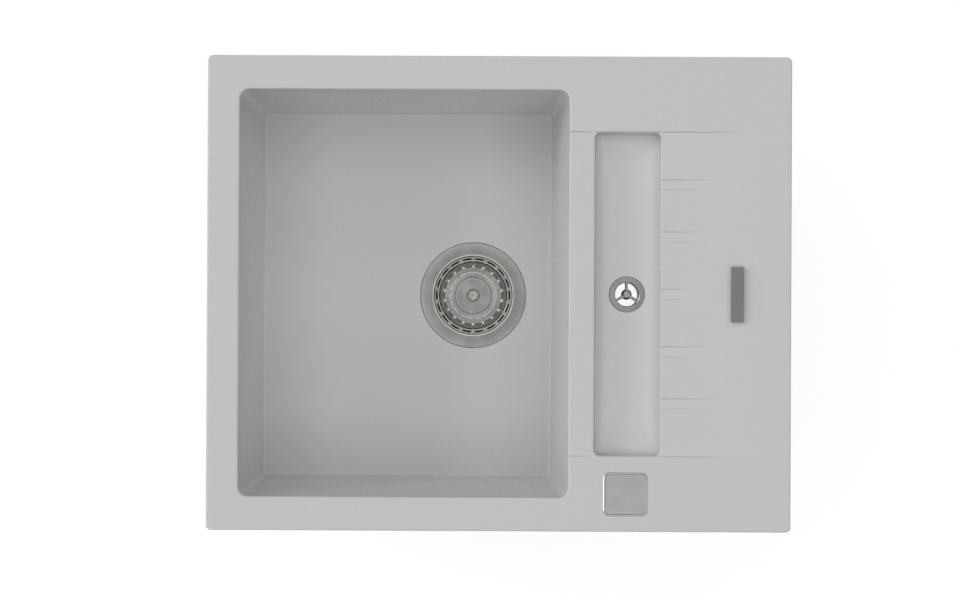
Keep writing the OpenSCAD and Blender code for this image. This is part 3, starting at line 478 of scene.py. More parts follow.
def linear(colour: str) -> tuple[float, float, float, float]:
    """Turns an sRGB hex colour into the linear one that shaders take.

    Args:
        colour: six hex digits after a hash sign.

    Returns:
        Red, green, blue and 1.
    """
    parts = [int(colour[k : k + 2], 16) / 255 for k in (1, 3, 5)]
    r, g, b = (v / 12.92 if v <= 0.04045 else ((v + 0.055) / 1.055) ** 2.4 for v in parts)
    return r, g, b, 1.0


def add_node(
    tree: bpy.types.NodeTree, kind: str, inputs: dict[int | str, object] | None = None, **settings: object
) -> bpy.types.Node:
    """Adds a node with its settings, its values and its links.

    Args:
        tree: the node tree.
        kind: the node's type.
        inputs: value of each input, or the output that is linked to it.
        settings: the node's own properties.

    Returns:
        The node.
    """
    node = tree.nodes.new(kind)
    for name, value in settings.items():
        setattr(node, name, value)
    for name, value in (inputs or {}).items():
        if isinstance(value, bpy.types.NodeSocket):
            tree.links.new(value, node.inputs[name])
        else:
            node.inputs[name].default_value = value
    return node


def calculate(
    tree: bpy.types.NodeTree, operation: str, *values: object, **settings: object
) -> bpy.types.NodeSocket:
    """Adds a calculation.

    Args:
        tree: the node tree.
        operation: what is worked out.
        values: the numbers or outputs that go in, in their order.
        settings: the node's other properties.

    Returns:
        The result's output.
    """
    node = add_node(tree, "ShaderNodeMath", dict(enumerate(values)), operation=operation, **settings)
    return node.outputs[0]


def centred(tree: bpy.types.NodeTree, socket: bpy.types.NodeSocket) -> bpy.types.NodeSocket:
    """Turns a value from 0 to 1 into one from -1 to 1."""
    return calculate(tree, "MULTIPLY_ADD", socket, 2.0, -1.0)


def noise(
    tree: bpy.types.NodeTree,
    place: bpy.types.NodeSocket,
    scale: float,
    detail: float = 3.0,
    roughness: float = 0.5,
) -> bpy.types.NodeSocket:
    """Adds a noise pattern.

    Args:
        tree: the node tree.
        place: where the pattern is read.
        scale: how many features fit in a metre.
        detail: octaves.
        roughness: weight of the fine octaves.

    Returns:
        The pattern's value, from 0 to 1.
    """
    inputs = {"Vector": place, "Scale": scale, "Detail": detail, "Roughness": roughness}
    return add_node(tree, "ShaderNodeTexNoise", inputs).outputs[0]


@dataclass(frozen=True)
class Relief:
    """What a pattern gives a shader.

    Attributes:
        shade: share by which the colour is lighter or darker, around 0.
        gloss: share by which the roughness is higher or lower, around 0.
        height: height of the surface, from 0 to 1.
        depth: real height of the relief in millimetres.
    """

    shade: bpy.types.NodeSocket
    gloss: bpy.types.NodeSocket
    height: bpy.types.NodeSocket
    depth: float


@dataclass(frozen=True)
class Finish:
    """A material as the real piece has it.

    Attributes:
        name: what it is and how its surface was made.
        colour: sRGB hex colour.
        roughness: middle roughness.
        metallic: 1 for a metal.
        ior: refractive index; a metal keeps the shader's own.
        shade_range: how far the pattern moves the colour, as a share.
        gloss_range: how far the pattern moves the roughness.
        edge: rounding that the eye sees on edges, in millimetres, or 0 where the mesh has it.
    """

    name: str
    colour: str
    roughness: float
    metallic: float = 0.0
    ior: float = 1.5
    shade_range: float = 0.06
    gloss_range: float = 0.08
    edge: float = 0.0

    def relief(self, tree: bpy.types.NodeTree, place: bpy.types.NodeSocket) -> Relief:
        """Builds the pattern.

        Args:
            tree: the node tree.
            place: the point's place in metres.

        Returns:
            The pattern's outputs.
        """
        raise NotImplementedError

    def material(self) -> bpy.types.Material:
        """Makes the material, once for each name.

        Returns:
            The material.
        """
        made = bpy.data.materials.get(self.name)
        if made:
            return made
        material = bpy.data.materials.new(self.name)
        material.use_nodes = True
        tree = material.node_tree
        tree.nodes.clear()
        place = add_node(tree, "ShaderNodeTexCoord").outputs["Object"]
        relief = self.relief(tree, place)
        bright = calculate(tree, "MULTIPLY_ADD", relief.shade, self.shade_range, 1.0)
        tint = add_node(
            tree,
            "ShaderNodeVectorMath",
            {0: linear(self.colour)[:3], 3: bright},
            operation="SCALE",
        )
        rough = calculate(
            tree, "MULTIPLY_ADD", relief.gloss, self.gloss_range, self.roughness, use_clamp=True
        )
        bump_inputs: dict[int | str, object] = {
            "Strength": 1.0,
            "Distance": relief.depth * MM,
            "Height": relief.height,
        }
        if self.edge:
            soft = add_node(tree, "ShaderNodeBevel", {"Radius": self.edge * MM}, samples=4)
            bump_inputs["Normal"] = soft.outputs[0]
        bump = add_node(tree, "ShaderNodeBump", bump_inputs)
        values: dict[int | str, object] = {
            "Base Color": tint.outputs[0],
            "Roughness": rough,
            "Normal": bump.outputs[0],
            "Metallic": self.metallic,
        }
        if not self.metallic:
            values["IOR"] = self.ior
        shader = add_node(tree, "ShaderNodeBsdfPrincipled", values)
        add_node(tree, "ShaderNodeOutputMaterial", {"Surface": shader.outputs[0]})
        material.diffuse_color = linear(self.colour)
        return material


@dataclass(frozen=True)
class Grained(Finish):
    """A cast or moulded surface: fine grain over a slow unevenness.

    Attributes:
        grain: size of a grain in millimetres.
        depth: height of the grain in millimetres.
        cloud: size of the slow unevenness in millimetres.
    """

    grain: float = 1.2
    depth: float = 0.02
    cloud: float = 40.0

    def relief(self, tree: bpy.types.NodeTree, place: bpy.types.NodeSocket) -> Relief:
        """Builds grains of two sizes and a slow cloud."""
        chip_size = 2.2 * self.grain
        fine = noise(tree, place, 1 / (self.grain * MM), roughness=0.6)
        chips = add_node(tree, "ShaderNodeTexVoronoi", {"Vector": place, "Scale": 1 / (chip_size * MM)})
        cloud = noise(tree, place, 1 / (self.cloud * MM), 2.0)
        tone = add_node(tree, "ShaderNodeSeparateColor", {0: chips.outputs["Color"]})
        mixed = calculate(tree, "MULTIPLY_ADD", tone.outputs[0], 0.5, fine)
        whole = calculate(tree, "MULTIPLY_ADD", cloud, 0.5, mixed)
        even = calculate(tree, "MULTIPLY", whole, 0.5)
        return Relief(centred(tree, even), centred(tree, fine), fine, self.depth)


@dataclass(frozen=True)
class Turned(Finish):
    """A sheet spun or polished around an upright axis, with fine rings.

    Attributes:
        x: axis from left to right in millimetres.
        y: axis from front to back in millimetres.
        line: spacing of the rings in millimetres.
        depth: height of the rings in millimetres.
    """

    x: float = 0.0
    y: float = 0.0
    line: float = 0.5
    depth: float = 0.004

    def relief(self, tree: bpy.types.NodeTree, place: bpy.types.NodeSocket) -> Relief:
        """Builds rings from the distance to the axis, broken up along their length."""
        stain_size = 18.0
        axis = (self.x * MM, self.y * MM, 0.0)
        local = add_node(tree, "ShaderNodeVectorMath", {0: place, 1: axis}, operation="SUBTRACT")
        parts = add_node(tree, "ShaderNodeSeparateXYZ", {0: local.outputs[0]})
        flat = add_node(tree, "ShaderNodeCombineXYZ", {0: parts.outputs[0], 1: parts.outputs[1]})
        away = add_node(tree, "ShaderNodeVectorMath", {0: flat.outputs[0]}, operation="LENGTH")
        turn = calculate(tree, "ARCTAN2", parts.outputs[1], parts.outputs[0])
        lane = calculate(tree, "MULTIPLY", away.outputs["Value"], 1 / (self.line * MM))
        track = add_node(tree, "ShaderNodeCombineXYZ", {0: lane, 1: turn, 2: parts.outputs[2]})
        rings = noise(tree, track.outputs[0], 1.0)
        stain = noise(tree, place, 1 / (stain_size * MM))
        return Relief(centred(tree, rings), centred(tree, stain), rings, self.depth)


@dataclass(frozen=True)
class Brushed(Finish):
    """A sheet or bar with straight brushing.

    Attributes:
        along: direction of the strokes.
        line: spacing of the strokes in millimetres.
        stroke: length of a stroke in millimetres.
        depth: height of the strokes in millimetres.
    """

    along: Point = (1.0, 0.0, 0.0)
    line: float = 0.35
    stroke: float = 30.0
    depth: float = 0.003

    def relief(self, tree: bpy.types.NodeTree, place: bpy.types.NodeSocket) -> Relief:
        """Builds noise drawn out along the strokes."""
        patch_size = 12.0
        scale = tuple(1 / ((self.stroke if part else self.line) * MM) for part in self.along)
        track = add_node(tree, "ShaderNodeVectorMath", {0: place, 1: scale}, operation="MULTIPLY")
        strokes = noise(tree, track.outputs[0], 1.0)
        patch = noise(tree, place, 1 / (patch_size * MM), 2.0)
        return Relief(centred(tree, strokes), centred(tree, patch), strokes, self.depth)


DRAIN_X = -28.5
TROUGH_X = 135.3
CONTROL_X = 133.9
CONTROL_Y = -210.5
CLAMP_PLACES = (
    (-210.0, -232.0), (10.0, -232.0), (-210.0, 232.0), (10.0, 232.0), (-289.5, -60.0), (289.5, -60.0),
)


class Finishes(Enum):
    """Every finish of the sink, named for the real material and how it was made."""

    # Quartz composite from a polished mould: pale grey, silky, with grains of quartz sand. The real
    # grain of 0.3 mm is too fine to show, so it is drawn at 1.1 mm and faint.
    FACE = Grained(
        "Quartz composite, mould face", "#D6D6D4", 0.26, ior=1.53, shade_range=0.02, gloss_range=0.06,
        grain=1.1, depth=0.004, cloud=90.0,
    )
    # The open side of the mould: the same mix, dull and slightly pitted.
    BACK = Grained(
        "Quartz composite, back of the casting", "#B4B4B1", 0.72, ior=1.53, shade_range=0.1,
        gloss_range=0.1, grain=1.6, depth=0.07, cloud=60.0,
    )
    # Stainless steel sheet, stamped and then polished on a wheel around its own axis.
    FLANGE = Turned(
        "Stainless steel, spun strainer flange", "#C4C3C0", 0.22, metallic=1.0, shade_range=0.05,
        gloss_range=0.06, x=DRAIN_X, line=0.7, depth=0.0015,
    )
    # The cup below is left as it was drawn: dull, with the greyish film of the press oil.
    CUP = Turned(
        "Stainless steel, drawn strainer cup", "#D0CFCC", 0.5, metallic=1.0, shade_range=0.08,
        gloss_range=0.08, x=DRAIN_X, line=1.2, depth=0.003,
    )
    # The cup's upper band under the basket's rim: the same steel painted dark, as painted shade for the
    # shadowed gap under the rim, seen as black dashes through the rim's slots.
    CUP_BAND = Turned(
        "Stainless steel, cup band with painted shade", "#5E5C58", 0.55, metallic=1.0, shade_range=0.12,
        gloss_range=0.08, x=DRAIN_X, line=1.2, depth=0.003,
    )
    BASKET = Turned(
        "Stainless steel, stamped strainer basket", "#C6C5C2", 0.24, metallic=1.0, shade_range=0.05,
        gloss_range=0.08, x=DRAIN_X, line=0.6, depth=0.0012,
    )
    GRID = Turned(
        "Stainless steel, stamped trough grid", "#A6A5A2", 0.28, metallic=1.0, shade_range=0.05,
        gloss_range=0.06, x=TROUGH_X, line=0.6, depth=0.0015,
    )
    # Nickel and chrome plate over brass, polished on the bezel and fine brushed on the button.
    BEZEL = Brushed(
        "Chrome plate, polished bezel", "#DDDDDD", 0.18, metallic=1.0, shade_range=0.02,
        gloss_range=0.03, line=0.5, stroke=20.0, depth=0.0008,
    )
    BUTTON = Brushed(
        "Chrome plate, satin button", "#C4C4C2", 0.3, metallic=1.0, shade_range=0.03, gloss_range=0.04,
        along=(0.0, 1.0, 0.0), line=0.4, stroke=16.0, depth=0.0012,
    )
    # Aluminium, brushed and anodised in dark grey.
    BAR = Brushed(
        "Aluminium, anodised dark grey", "#828282", 0.42, metallic=1.0, shade_range=0.05,
        gloss_range=0.06, along=(0.0, 1.0, 0.0), line=0.4, stroke=25.0, depth=0.002,
    )
    # Steel wire and pressed steel with bright zinc plate: pale, faintly blotched.
    ZINC = Grained(
        "Steel, bright zinc plated", "#B9BCBF", 0.34, metallic=1.0, shade_range=0.12, gloss_range=0.12,
        grain=0.8, depth=0.004, cloud=9.0, edge=0.25,
    )
    STAINLESS_PIN = Brushed(
        "Stainless steel, drawn rod", "#C4C3C0", 0.26, metallic=1.0, shade_range=0.05, gloss_range=0.05,
        along=(0.0, 0.0, 1.0), line=0.4, stroke=14.0, depth=0.002, edge=0.2,
    )
    # Free-cutting brass, turned and left bare: warm, dulled by handling.
    BRASS = Turned(
        "Brass, turned", "#C9A35A", 0.32, metallic=1.0, shade_range=0.1, gloss_range=0.1,
        line=0.35, depth=0.003, edge=0.2,
    )
    # Glass-filled polypropylene, moulded with a fine spark-eroded texture.
    POLYPROPYLENE = Grained(
        "Polypropylene, moulded black", "#2B2C2D", 0.5, ior=1.49, shade_range=0.14, gloss_range=0.12,
        grain=0.5, depth=0.02, cloud=22.0, edge=0.4,
    )
    # Acetal, moulded smooth.
    ACETAL = Grained(
        "Acetal, moulded grey", "#8B8E90", 0.38, ior=1.48, shade_range=0.05, gloss_range=0.08,
        grain=0.7, depth=0.006, cloud=18.0, edge=0.3,
    )
    # EPDM rubber, moulded: near black, matt, with a bloom.
    RUBBER = Grained(
        "EPDM rubber, moulded seal", "#242424", 0.78, ior=1.52, shade_range=0.18, gloss_range=0.1,
        grain=0.6, depth=0.02, cloud=14.0, edge=0.3,
    )
    # Stainless steel screws, cold headed: dull, with the same film as the cup that they clamp.
    SCREW_HEAD = Grained(
        "Stainless steel, cold headed", "#D0CFCC", 0.5, metallic=1.0, shade_range=0.08, gloss_range=0.1,
        grain=0.6, depth=0.004, cloud=8.0, edge=0.25,
    )
    # Stainless steel washer, punched from rolled sheet: mid grey, satin.
    WASHER = Turned(
        "Stainless steel, punched washer", "#A9A8A5", 0.45, metallic=1.0, shade_range=0.05,
        gloss_range=0.06, x=DRAIN_X, line=0.9, depth=0.002,
    )
    # Closed-cell foam with adhesive on both sides: tiny cut cells.
    FOAM = Grained(
        "Polyethylene foam, adhesive pad", "#3A3A3B", 0.9, ior=1.5, shade_range=0.2, gloss_range=0.05,
        grain=0.45, depth=0.08, cloud=10.0,
    )

    def material(self) -> bpy.types.Material:
        """The finish's material."""
        return self.value.material()


def finish_piece(piece: bpy.types.Object, body: str, slot: str, *nodes: str) -> None:
    """Puts a piece on its body, hides the solids that it replaces and logs it.

    Args:
        piece: the finished object.
        body: the body that it rides on.
        slot: not used.
        nodes: the nodes that it replaces.
    """
    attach(piece, body)
    if nodes:
        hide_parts(*nodes)
    log.info("%s: %d points on %s", piece.name, len(piece.data.vertices), body)


def finish_form(
    form: Form, finishes: Sequence[Finishes], sharp: float, body: str, slot: str, *nodes: str
) -> bpy.types.Object:
    """Makes a form's object and puts it on its body.

    Args:
        form: the form.
        finishes: one for each of its slots.
        sharp: angle above which an edge stays sharp, in degrees.
        body: the body that it rides on.
        slot: passed on to finish_piece, which does not use it.
        nodes: the nodes that it replaces.

    Returns:
        The object.
    """
    piece = form.object([finish.material() for finish in finishes], sharp)
    finish_piece(piece, body, slot, *nodes)
    return piece


# ---------------------------------------------------------------- the sink


@dataclass
class SinkBody:
    """The composite casting: deck, bowl, trough, drainboard and the ribs and bosses below.

    Attributes:
        length: deck from left to right.
        width: deck from front to back.
        thickness: deck thickness, with the worktop's plane at 0.
        corner: corner radius of the deck.
        rim: rounding of the deck's outer edge.
        lip: rounding of the bowl's edge.
        trough_lip: rounding of the trough's edge.
        bowl_x: middle of the bowl.
        bowl_length: bowl opening from left to right.
        bowl_width: bowl opening from front to back.
        bowl_draft: how far the walls lean in.
        bowl_corner: corner radius of the bowl.
        bowl_depth: depth at the drain.
        floor_fall: fall of the floor to the drain.
        bowl_fillet: rounding between wall and floor.
        wall: wall thickness.
        trough_length: trough opening from left to right.
        trough_width: trough opening from front to back.
        trough_depth: depth of the trough.
        trough_draft: how far its walls lean in.
        trough_fillet: rounding between its walls and its floor.
        trough_corner: its corner radius.
        belly: rise of its floor towards the walls.
        foot_pitch: steepness of its floor at the walls, in degrees.
        recess: depth of the drainboard's fall at the trough.
        recess_end: where the fall meets the deck.
        groove_width: width of a drainboard groove.
        groove_depth: depth of a groove at the trough.
        drain_bed: radius of the flat around the drain, under the strainer's flange.
        outlet_bed: radius of the flat around the trough's waste.
        bowl_land: level strip between the bowl's rounding and the deck's mesh.
        trough_land: level strip between the trough's rounding and the deck's mesh.
        GROOVES: place from front to back and length of each groove.
    """

    length: float = 615.0
    width: float = 500.0
    thickness: float = 8.0
    corner: float = 5.5
    rim: float = 1.6
    lip: float = 2.2
    trough_lip: float = 1.3
    bowl_x: float = -100.0
    bowl_length: float = 347.0
    bowl_width: float = 428.6
    bowl_draft: float = 16.0
    bowl_corner: float = 10.5
    bowl_depth: float = 190.0
    floor_fall: float = 2.5
    bowl_fillet: float = 3.0
    wall: float = 7.0
    trough_length: float = 70.0
    trough_width: float = 340.0
    trough_depth: float = 29.0
    trough_draft: float = 1.6
    trough_fillet: float = 1.4
    trough_corner: float = 6.0
    belly: float = 5.0
    foot_pitch: float = 18.0
    recess: float = 1.8
    recess_end: float = 270.0
    groove_width: float = 10.5
    groove_depth: float = 1.4
    drain_bed: float = 58.4
    outlet_bed: float = 19.2
    bowl_land: float = 1.6
    trough_land: float = 1.4
    GROOVES = ((0.0, 40.0), (-60.4, 70.0), (60.4, 70.0), (-115.3, 84.0), (115.3, 84.0))

    def __post_init__(self) -> None:
        """Works out the levels and the outlines that the parts share."""
        self.floor = self.thickness - self.bowl_depth
        self.trough_floor = self.thickness - self.trough_depth
        self.trough_edge = TROUGH_X + self.trough_length / 2
        rows = self.rows()
        half_bowl = self.bowl_width / 2 - self.bowl_corner
        half_trough = self.trough_width / 2 - self.trough_corner
        sparse = tuple(k / 10 for k in range(-9, 10))
        self.deck = Outline(0, 0, self.length, self.width, self.corner, sparse, sparse)
        self.bowl = Outline(
            self.bowl_x, 0, self.bowl_length, self.bowl_width, self.bowl_corner,
            sparse, tuple(y / half_bowl for y in rows if abs(y) < half_bowl - 2), 10,
        )
        self.trough = Outline(
            TROUGH_X, 0, self.trough_length, self.trough_width, self.trough_corner,
            tuple(k / 5 for k in range(-4, 5)),
            tuple(y / half_trough for y in rows if abs(y) < half_trough - 1), 8,
        )
        self.control_hole = Outline(CONTROL_X, CONTROL_Y, 45.1, 45.1, 5.1, (0.0,), (0.0,), 6)

    def rows(self) -> list[float]:
        """Places from front to back, close together where the drainboard has an edge."""
        edges = [self.trough_width / 2 + 0.7]
        for y, _ in self.GROOVES:
            edges += [abs(y) - self.groove_width / 2, abs(y) + self.groove_width / 2]
        beside = (-1.8, -1.2, -0.6, 0, 0.6, 1.2, 1.8)
        fine = [s * (e + o) for e in edges for s in (-1, 1) for o in beside]
        plain = [y for y in spread(-204, 204, 8.5) if all(abs(abs(y) - e) > 4 for e in edges)]
        places: list[float] = []
        for y in sorted(fine + plain):
            if not places or y - places[-1] > 0.3:
                places.append(y)
        return places

    def height(self, x: float, y: float) -> float:
        """Height of the deck's top: level, with the drainboard's fall and its grooves."""
        if x < self.bowl_x + self.bowl_length / 2 - 3:
            return self.thickness
        across = ease((self.trough_width / 2 + 1.3 - abs(y)) / 1.2)
        along = max(0.0, x - self.trough_edge) / (self.recess_end - self.trough_edge)
        low = self.recess * across * max(0.0, 1 - along**1.7)
        for centre, run in self.GROOVES:
            away = max(0.0, x - self.trough_edge) / run
            if away < 1 and x > TROUGH_X:
                side = ease((self.groove_width / 2 + 0.8 - abs(y - centre)) / 1.6)
                low += self.groove_depth * (1 - away**1.7) * side
        return self.thickness - low

    def basin(
        self, form: Form, outline: Outline, steps: Sequence[Plan], tight: float, foot: Height
    ) -> list[list[int]]:
        """Rings down the inside of the bowl or trough, tied to the deck above and the floor below.

        Args:
            form: where to add them.
            outline: the opening.
            steps: insets and depths.
            tight: corner radius at the floor.
            foot: height of the floor.

        Returns:
            The rings.
        """
        rings = []
        top, deck_fade = self.thickness, 14
        last_inset, last = steps[-1]
        for inset, depth in steps:
            radius = outline.radius - inset
            if inset >= 0:
                radius = outline.radius + (tight - outline.radius) * inset / last_inset
            keep = max(0.0, 1 - depth / deck_fade)
            near = ease((depth - 0.7 * last) / (0.3 * last))
            plan = outline.plan(-inset, radius)
            heights = [
                top - depth - keep * (top - self.height(x, y)) + near * (foot(x, y) - top + last)
                for x, y in plan
            ]
            rings.append(form.ring((x, y, z) for (x, y), z in zip(plan, heights)))
        form.loft(rings)
        return rings

    def bowl_floor(self, x: float, y: float) -> float:
        """Height of the bowl's floor: a shallow dish around the drain."""
        away = math.hypot(x - DRAIN_X, y)
        return self.floor + self.floor_fall * ease((away - 62) / 150)

    def trough_dish(self, x: float, y: float) -> float:
        """Height of the trough's floor: curved across, and rising at its ends."""
        foot_inset = 2.9
        u = min(1.0, abs(x - TROUGH_X) / (self.trough_length / 2 - foot_inset))
        v = min(1.0, abs(y) / (self.trough_width / 2 - foot_inset))
        share = 1 - (1 - u**2.2) * (1 - v**10)
        return self.trough_floor + self.belly * share

    def upper_side(self, form: Form) -> dict[str, list[int]]:
        """Builds the deck's top, the bowl and the trough.

        Args:
            form: where to add them.

        Returns:
            The rings that the lower side starts from.
        """
        top = self.thickness
        rim_steps = [(self.rim + 1.5, 0.0)] + [
            (self.rim * (1 - math.sin(a)), self.rim * (1 - math.cos(a)))
            for a in (math.pi / 2 * k / 5 for k in range(6))
        ]
        rim = [form.level(self.deck, inset, top - depth) for inset, depth in rim_steps]
        form.loft(rim)

        pitch = math.degrees(
            math.atan2(self.bowl_depth - self.floor_fall - self.bowl_fillet, self.bowl_draft)
        )
        edge_depth = self.bowl_depth - self.floor_fall
        walk = Slope(-self.lip - self.bowl_land).move(-self.lip + 0.1).bend(self.lip, pitch, 7)
        walk.fall(edge_depth - self.bowl_fillet * (1 - math.cos(math.radians(pitch))), 1.5)
        walk.bend(self.bowl_fillet, 0.0, 8)
        bowl = self.basin(form, self.bowl, walk.steps, 6.0, self.bowl_floor)
        inner = self.bowl.plan(-walk.inset - 2.5, 4.0)
        bowl_ring = form.ring((x, y, self.bowl_floor(x, y)) for x, y in inner)
        floor_inset = walk.inset + 2.4
        form.join(bowl[-1], bowl_ring)

        pitch = math.degrees(math.atan2(self.trough_depth - self.belly, self.trough_draft))
        walk = Slope(-self.trough_lip - self.trough_land).move(-self.trough_lip + 0.1)
        walk.bend(self.trough_lip, pitch, 6)
        turn = math.cos(math.radians(self.foot_pitch)) - math.cos(math.radians(pitch))
        walk.fall(self.trough_depth - self.belly - self.trough_fillet * turn, 1.0)
        walk.bend(self.trough_fillet, self.foot_pitch, 7)
        trough_foot = self.thickness - walk.steps[-1][1]
        trough = self.basin(form, self.trough, walk.steps, 2.5, lambda x, y: trough_foot)

        hole = form.level(self.control_hole, 0, top)
        places = [
            (x, y)
            for y in self.rows()
            for x in spread(self.trough_edge + 4, self.recess_end + 4, 4) + spread(80, 95, 5)
        ]
        places += [(x, y) for x in (-300.0, 40.0, 160.0, 230.0, 300.0) for y in (-235.0, 0.0, 232.0)]
        places += [
            (x, s * (self.trough_width / 2 + beyond))
            for x in spread(100, 170, 6)
            for s in (-1, 1)
            for beyond in (3.4, 5.0)
        ]

        def outside(x: float, y: float) -> float:
            """How far a place is off the deck's top."""
            return max(
                self.deck.distance(x, y) + rim_steps[0][0],
                self.lip + self.bowl_land - self.bowl.distance(x, y),
                self.trough_lip + self.trough_land - self.trough.distance(x, y),
                -self.control_hole.distance(x, y),
            )

        form.fill([rim[0], bowl[0], trough[0], hole], places, self.height, outside, 0.7)
        bed = Outline.circle(DRAIN_X, 0, self.drain_bed)
        drain = form.ring((x, y, self.bowl_floor(x, y)) for x, y in bed.plan())
        plain_length = self.bowl_length - 2 * floor_inset
        plain = Outline(self.bowl_x, 0, plain_length, self.bowl_width - 2 * floor_inset, 3)

        def off_floor(x: float, y: float) -> float:
            """How far a place is off the bowl's floor."""
            return max(plain.distance(x, y), self.drain_bed - math.hypot(x - DRAIN_X, y))

        grid = [(x, y) for x in spread(-255, 56, 11) for y in spread(-196, 196, 11)]
        grid += [
            (DRAIN_X + r * math.cos(a), r * math.sin(a))
            for r in (63, 69, 77)
            for a in (math.pi * k / 24 for k in range(48))
        ]
        form.fill([bowl_ring, drain], grid, self.bowl_floor, off_floor, 3)

        bed = Outline.circle(TROUGH_X, 0, self.outlet_bed, 12)
        outlet = form.ring((x, y, self.trough_dish(x, y)) for x, y in bed.plan())
        corner_room = 2.5

        def off_trough(x: float, y: float) -> float:
            """How far a place is off the trough's floor, with room for its corners."""
            return max(
                self.trough.distance(x, y) + walk.inset - corner_room,
                self.outlet_bed - math.hypot(x - TROUGH_X, y),
            )

        grid = [(x, y) for x in spread(TROUGH_X - 26, TROUGH_X + 26, 4) for y in spread(-160, 160, 5)]
        form.fill([trough[-1], outlet], grid, self.trough_dish, off_trough, 1.4 + corner_room)
        return {"rim": rim[-1], "hole": hole, "drain": drain, "outlet": outlet}

    def shell(
        self, form: Form, outline: Outline, draft: float, low: float, soft: float
    ) -> tuple[list[list[int]], float]:
        """Builds the outside of the bowl or trough.

        Args:
            form: where to add it.
            outline: the opening.
            draft: how far the walls lean in.
            low: height of the underside.
            soft: rounding where the wall meets the deck.

        Returns:
            The rings, and how far inside the opening the last one lies.
        """
        fillet, land = 9.5, 2
        pitch = math.degrees(math.atan2(-low - fillet, draft))
        walk = Slope(-self.wall - soft - 1.0).move(-self.wall - soft).bend(soft, pitch, 5)
        walk.fall(-low - fillet * (1 - math.cos(math.radians(pitch))), 1.5).bend(fillet, 0.0, 7)
        walk.steps.append((walk.inset + land, -low))
        rings = []
        for inset, depth in walk.steps:
            wider = max(0.0, -inset - self.wall)
            narrower = max(0.0, inset + self.wall - draft)
            radius = max(outline.radius + self.wall + wider - narrower, 1.0)
            rings.append(form.level(outline, inset, -depth, radius))
        form.loft(rings)
        return rings, walk.inset + land

    def boss(
        self, form: Form, shell: tuple[list[list[int]], float], bed: Outline, opening: Outline,
        path: Sequence[Plan], top: Sequence[int],
    ) -> None:
        """Builds the boss and the hole of a drain, and the shell's underside around them.

        Args:
            form: where to add it.
            shell: the shell's rings and how far inside the opening the last one lies.
            bed: the drain's bed, which gives the middle and the segments of every ring.
            opening: the opening of the bowl or trough.
            path: radius and height of each ring, from the underside to the drain's bed.
            top: the ring of the drain's bed.
        """
        shell_rings, inset = shell
        first_radius, level = path[0]
        rings = []
        for radius, z in path:
            circle = Outline.circle(bed.x, bed.y, radius, bed.corner_steps)
            rings.append(form.level(circle, 0, z))
        form.loft(rings + [top])

        def off_shell(x: float, y: float) -> float:
            """How far a place is off the shell's underside."""
            return max(opening.distance(x, y) + inset - 0.01, first_radius - math.hypot(x - bed.x, y))

        form.fill([shell_rings[-1], rings[0]], [], lambda x, y: level, off_shell)

    def lower_side(self, form: Form, upper: dict[str, list[int]]) -> None:
        """Builds the rim's groove, the shells' outsides and the drains' bosses.

        Args:
            form: where to add them.
            upper: the rings that the upper side left open.
        """
        form.slot = 1
        groove = (
            (0, 0.5), (0.15, 0.15), (0.5, 0), (2.9, 0), (3, 0.1), (3, 2), (9, 2), (9, 0.1), (9.1, 0),
            (10.5, 0),
        )
        rim_rings = [form.level(self.deck, inset, z) for inset, z in groove]
        form.loft([upper["rim"]] + rim_rings)
        bowl = self.shell(form, self.bowl, self.bowl_draft, self.floor - self.wall, 3.0)
        trough = self.shell(form, self.trough, self.trough_draft, self.trough_floor - self.wall, 2.0)
        hole_low = form.level(self.control_hole, 0, 0.0)
        form.join(upper["hole"], hole_low)

        def outside(x: float, y: float) -> float:
            """How far a place is off the deck's underside."""
            return max(
                self.deck.distance(x, y) + groove[-1][0],
                self.wall + 4 - self.bowl.distance(x, y),
                self.wall + 3 - self.trough.distance(x, y),
                -self.control_hole.distance(x, y),
            )

        holes = [bowl[0][0], trough[0][0], hole_low]
        form.fill([rim_rings[-1]] + holes, [], lambda x, y: 0.0, outside)
        drain_path = (
            (63.7, -189), (62.6, -189.4), (62.2, -190.5), (62.2, -192.5), (61.7, -193), (45.4, -193),
            (45, -192.6), (45, -185), (57.6, -185), (57.6, -182.3), (57.7, -182.1), (57.95, -182.02),
        )
        outlet_path = (
            (24.2, -28), (23.3, -28.3), (23, -29.2), (23, -30.5), (22.5, -31), (16.1, -31), (15.8, -30.7),
            (15.8, -23.6), (18.95, -23.6), (19.0, -21.3),
        )
        drain = Outline.circle(DRAIN_X, 0, self.drain_bed, 24)
        outlet = Outline.circle(TROUGH_X, 0, self.outlet_bed, 12)
        self.boss(form, bowl, drain, self.bowl, drain_path, upper["drain"])
        self.boss(form, trough, outlet, self.trough, outlet_path, upper["outlet"])

    def ribs(self, form: Form) -> None:
        """Adds the rib under the rim, the control's pad and the clamps' bosses."""
        rib = Outline(
            0, 0, self.length - 24, self.width - 24, self.corner,
            tuple(x / 290.0 for x in (-250, -150, -50, 50, 104.75, 166.75, 200, 260)),
            tuple(k / 5 for k in range(-4, 5)),
        )
        rib_section = (
            (0, 1), (0.3, -13), (0.7, -13.7), (1.4, -14), (6.6, -14), (7.3, -13.7), (7.7, -13), (8, 1),
        )
        rings = []
        for inset, z in rib_section:
            plan = rib.plan(-inset, max(self.corner - inset, 1.0))
            cut = next(
                k for k, (x, y) in enumerate(plan) if y < -228 and x > 160 and plan[k - 1][0] < 120
            )
            rings.append(form.ring((x, y, z) for x, y in plan[cut:] + plan[:cut]))
        form.loft(rings + [rings[0]], closed=False)
        for end in (0, -1):
            form.face(*(ring[end] for ring in rings))
        self.pad(form)
        boss = (
            (0, -13), (4, -13), (4, -23.7), (4.3, -24), (5.4, -24), (5.85, -23.85), (6, -23.4), (6, -5),
            (6.6, -1), (8.5, 1), (0, 1),
        )
        for x, y in CLAMP_PLACES:
            form.turn(x, y, boss, 32)

